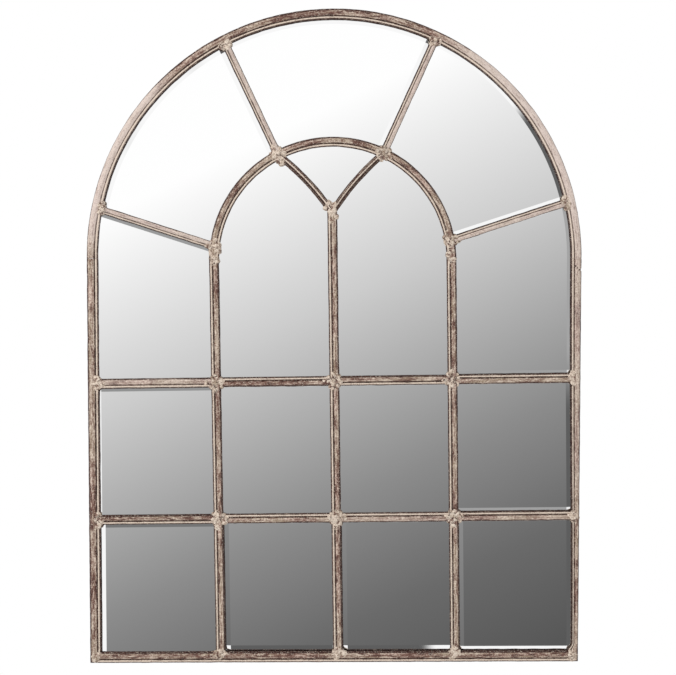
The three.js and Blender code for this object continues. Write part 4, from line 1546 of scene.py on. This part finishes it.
# %% [markdown]
# ## The back
# The backing board is hardboard with its mesh side to the wall: brown pressed fibre with
# the print of the press's wire screen, paler bruises and a damp stain that has crept up
# from the foot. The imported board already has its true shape, so only its finish is made.
# Two noises, squeezed in different directions, give the matted fibre, and two sets of
# waves, across and up, give the screen's print.

# %% Hardboard
SCREEN_PITCH, WAVE_RADIANS = 3.16, 20
DAMP_FROM, DAMP_TO = 0.03, 0.14
board_finish, board = empty_finish("screen_backed_hardboard")
spot = board.node("TexCoord", out=3)
height = spot.node("SeparateXYZ", None, {0: spot}, out=2)
stretched = {"Vector": spot, "Scale": (1.0, 1.0, 0.22), "Rotation": (0, 0.5, 0)}
fibre = grain(spot.node("Mapping", None, stretched), 0.0016, 4)
stretched = {"Vector": spot, "Scale": (0.22, 1.0, 1.0), "Rotation": (0, 0.3, 0)}
fibre = (fibre + grain(spot.node("Mapping", None, stretched), 0.0019, 4)) * 0.5
cloud, bruise = grain(spot, 0.16, 3), grain(spot, 0.035, 2)
print_scale = 2 * math.pi / WAVE_RADIANS / (SCREEN_PITCH * mm)
waves = {"Vector": spot, "Scale": print_scale, "Distortion": 0.6, "Detail": 1.0}
wires = [spot.node("TexWave", {"bands_direction": way}, waves) for way in ("X", "Z")]
screen = wires[0].sum("MAXIMUM", wires[0] * 0.6 + fibre * 0.4, wires[1] * 0.6 + fibre * 0.4)
stain = height + (bruise - 0.5) * 0.12 + (cloud - 0.5) * 0.2
damp = 1 - rise(stain, FOOT_Z + DAMP_FROM, FOOT_Z + DAMP_TO)
colour = mix(rise(fibre, 0.38, 0.62), shade(84, 58, 38), shade(138, 102, 68))
colour = mix(rise(cloud, 0.42, 0.62) * 0.45, colour, shade(112, 84, 60))
colour = mix(rise(bruise, 0.60, 0.74) * 0.4, colour, shade(164, 130, 94))
colour = mix(damp * 0.6, colour, shade(62, 44, 32))
pressed = {"Height": screen + fibre * 0.5, "Strength": 0.5, "Distance": 0.0004}
skin = board.node("BsdfPrincipled", None, {
    "Base Color": colour,
    "Roughness": 0.82 + (fibre - 0.5) * 0.3,
    "Normal": screen.node("Bump", None, pressed),
    "Specular IOR Level": 0.3,
})
board.node("OutputMaterial", None, {"Surface": skin})
print("hardboard nodes:", len(board_finish.node_tree.nodes))

# %% [markdown]
# ## Galvanised sheet
# Tabs and hanger plates are cut from galvanised sheet. Hot zinc sets in crystals, which a
# Voronoi pattern gives in flat patches of slightly different grey. It has gone dull, and
# rusts in spots.

# %% Galvanised sheet
sheet_finish, sheet = empty_finish("galvanised_sheet")
spot = sheet.node("TexCoord", out=3)
crystal = spot.node("TexVoronoi", None, {"Vector": spot, "Scale": 190}, out=1)
crystal = crystal.node("SeparateColor", None, {0: crystal})
scratch = grain(spot.node("Mapping", None, {"Vector": spot, "Scale": (1, 1, 0.06)}), 0.0010, 2)
cloud, spots = grain(spot, 0.014, 3), grain(spot, 0.0034, 3)
rust = rise(cloud * 0.6 + spots * 0.5, 0.60, 0.70)
colour = mix(crystal, shade(140, 142, 143), shade(178, 180, 180))
colour = mix(rise(cloud, 0.40, 0.60) * 0.5, colour, shade(188, 186, 180))
colour = mix(rust * 0.9, colour, mix(spots, shade(92, 52, 32), shade(148, 88, 50)))
pitted = {"Height": scratch * 0.4 + rust * spots, "Strength": 0.4, "Distance": 0.0002}
skin = sheet.node("BsdfPrincipled", None, {
    "Base Color": colour,
    "Metallic": (1 - rust) * 0.85,
    "Roughness": 0.36 + crystal * 0.14 + scratch * 0.1 + rust * 0.35,
    "Normal": scratch.node("Bump", None, pitted),
})
sheet.node("OutputMaterial", None, {"Surface": skin})
print("galvanised nodes:", len(sheet_finish.node_tree.nodes))

# %% [markdown]
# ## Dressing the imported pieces
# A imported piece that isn't replaced keeps its own mesh. Its material slots are given the
# new finish, and nothing else about it changes.

# %% Finishes on the board, the tabs and the hangers
sheet_nodes = [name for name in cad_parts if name.startswith(("tab_", "hanger_"))]
finishes = {"backing_board": board_finish} | {name: sheet_finish for name in sheet_nodes}
for name, finish in finishes.items():
    for skin_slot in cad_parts[name].material_slots:
        skin_slot.material = finish
print("tabs and hangers finished:", len(sheet_nodes))

# %% [markdown]
# ## Welds behind
# Each tab stands against the channel's inner wall and is welded there down both sides, as
# are the hanger plates. A weld is a stack of small puddles, each laid a little over the
# last. A bump map on the tab would stop at the tab's edge, so the puddles are real lumps.

# %% A run of weld
PUDDLE, PUDDLE_STEP, PUDDLES, FIRST_PUDDLE = 1.5, 1.2, 4, 2.1


def weld_run(x, height, seed):
    """A stack of puddles that climbs from the wall side toward the glass."""
    puddles = []
    for step in range(PUDDLES):
        sway = 0.25 * math.sin(3.7 * seed + 2.1 * step)
        size = PUDDLE * (0.9 + 0.15 * math.sin(1.3 * seed + step))
        out = FIRST_PUDDLE + step * PUDDLE_STEP
        puddles.append(lump_at(x + sway, out, height + sway, size, size * 0.8, size))
    return puddles


print("a run of weld is", PUDDLES * PUDDLE_STEP, "mm tall")

# %% [markdown]
# ## Finding the sides of each tab
# The runs stand where a tab or plate meets the channel's wall, and that place is worked out
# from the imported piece's own box: by height along the stiles, by width along the foot, and
# by angle round the arch.

# %% Where the runs stand
WALL_GAP, TAB_SIDE, TAB_HALF, HANGER_HALF = 1.2, 0.5, 9.5, 22.6
WALL_RADIUS = R_FRAME + inner_wall - WALL_GAP


def weld_spots(name):
    """The two places beside a tab or hanger, across and up in mm."""
    near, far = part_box(name)
    (left, bottom), (right, top) = measured(near), measured(far)
    x, height = (left + right) / 2, (bottom + top) / 2
    if name.startswith("tab_foot"):
        return [(left - TAB_SIDE, bottom + 1.0), (right + TAB_SIDE, bottom + 1.0)]
    if height < SPRING:
        edge_x = math.copysign(WALL_RADIUS, x)
        return [(edge_x, bottom - TAB_SIDE), (edge_x, top + TAB_SIDE)]
    if name.startswith("hanger"):
        turns = [math.acos((abs(x) + side * HANGER_HALF) / WALL_RADIUS) for side in (-1, 1)]
        turns = [math.pi - turn if x < 0 else turn for turn in turns]
    else:
        middle, spread = math.atan2(height - SPRING, x), TAB_HALF / WALL_RADIUS
        turns = [middle - spread, middle + spread]
    return [on_circle((0, SPRING), WALL_RADIUS, math.degrees(turn)) for turn in turns]


weld_parts = []
for name in sheet_nodes:
    for k, spot in enumerate(weld_spots(name)):
        weld_parts += weld_run(*spot, len(weld_parts) + k)
print("puddles of weld:", len(weld_parts))

# %% [markdown]
# ## Bare weld metal
# The runs were left unpainted, so they carry a dark scale with rust in it, over metal.

# %% One piece of all the runs
welds = join(weld_parts, "back_welds")
bare_weld = bpy.data.materials.new("bare_weld")
bare_weld.use_nodes = True
scale_layer = Wire(bare_weld.node_tree)
scale_layer = grain(scale_layer.node("TexCoord", out=3), 0.002, 3)
tones = mix(rise(scale_layer, 0.42, 0.60), shade(58, 50, 48), shade(120, 92, 72))
gloss = scale_layer * 0.4 + 0.35
weld_skin = bare_weld.node_tree.nodes["Principled BSDF"]
weld_skin.inputs["Metallic"].default_value = 0.6
bare_weld.node_tree.links.new(tones.socket, weld_skin.inputs["Base Color"])
bare_weld.node_tree.links.new(gloss.socket, weld_skin.inputs["Roughness"])
roughen(welds, ("brushing", 0.5))
bpy.ops.object.shade_smooth_by_angle(angle=math.radians(60))
welds.data.materials.append(bare_weld)
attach(welds, "root")
print("faces of weld:", len(welds.data.polygons))

# %% Finish
low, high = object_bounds()
print("visual box:", [round(v, 4) for v in low], [round(v, 4) for v in high])
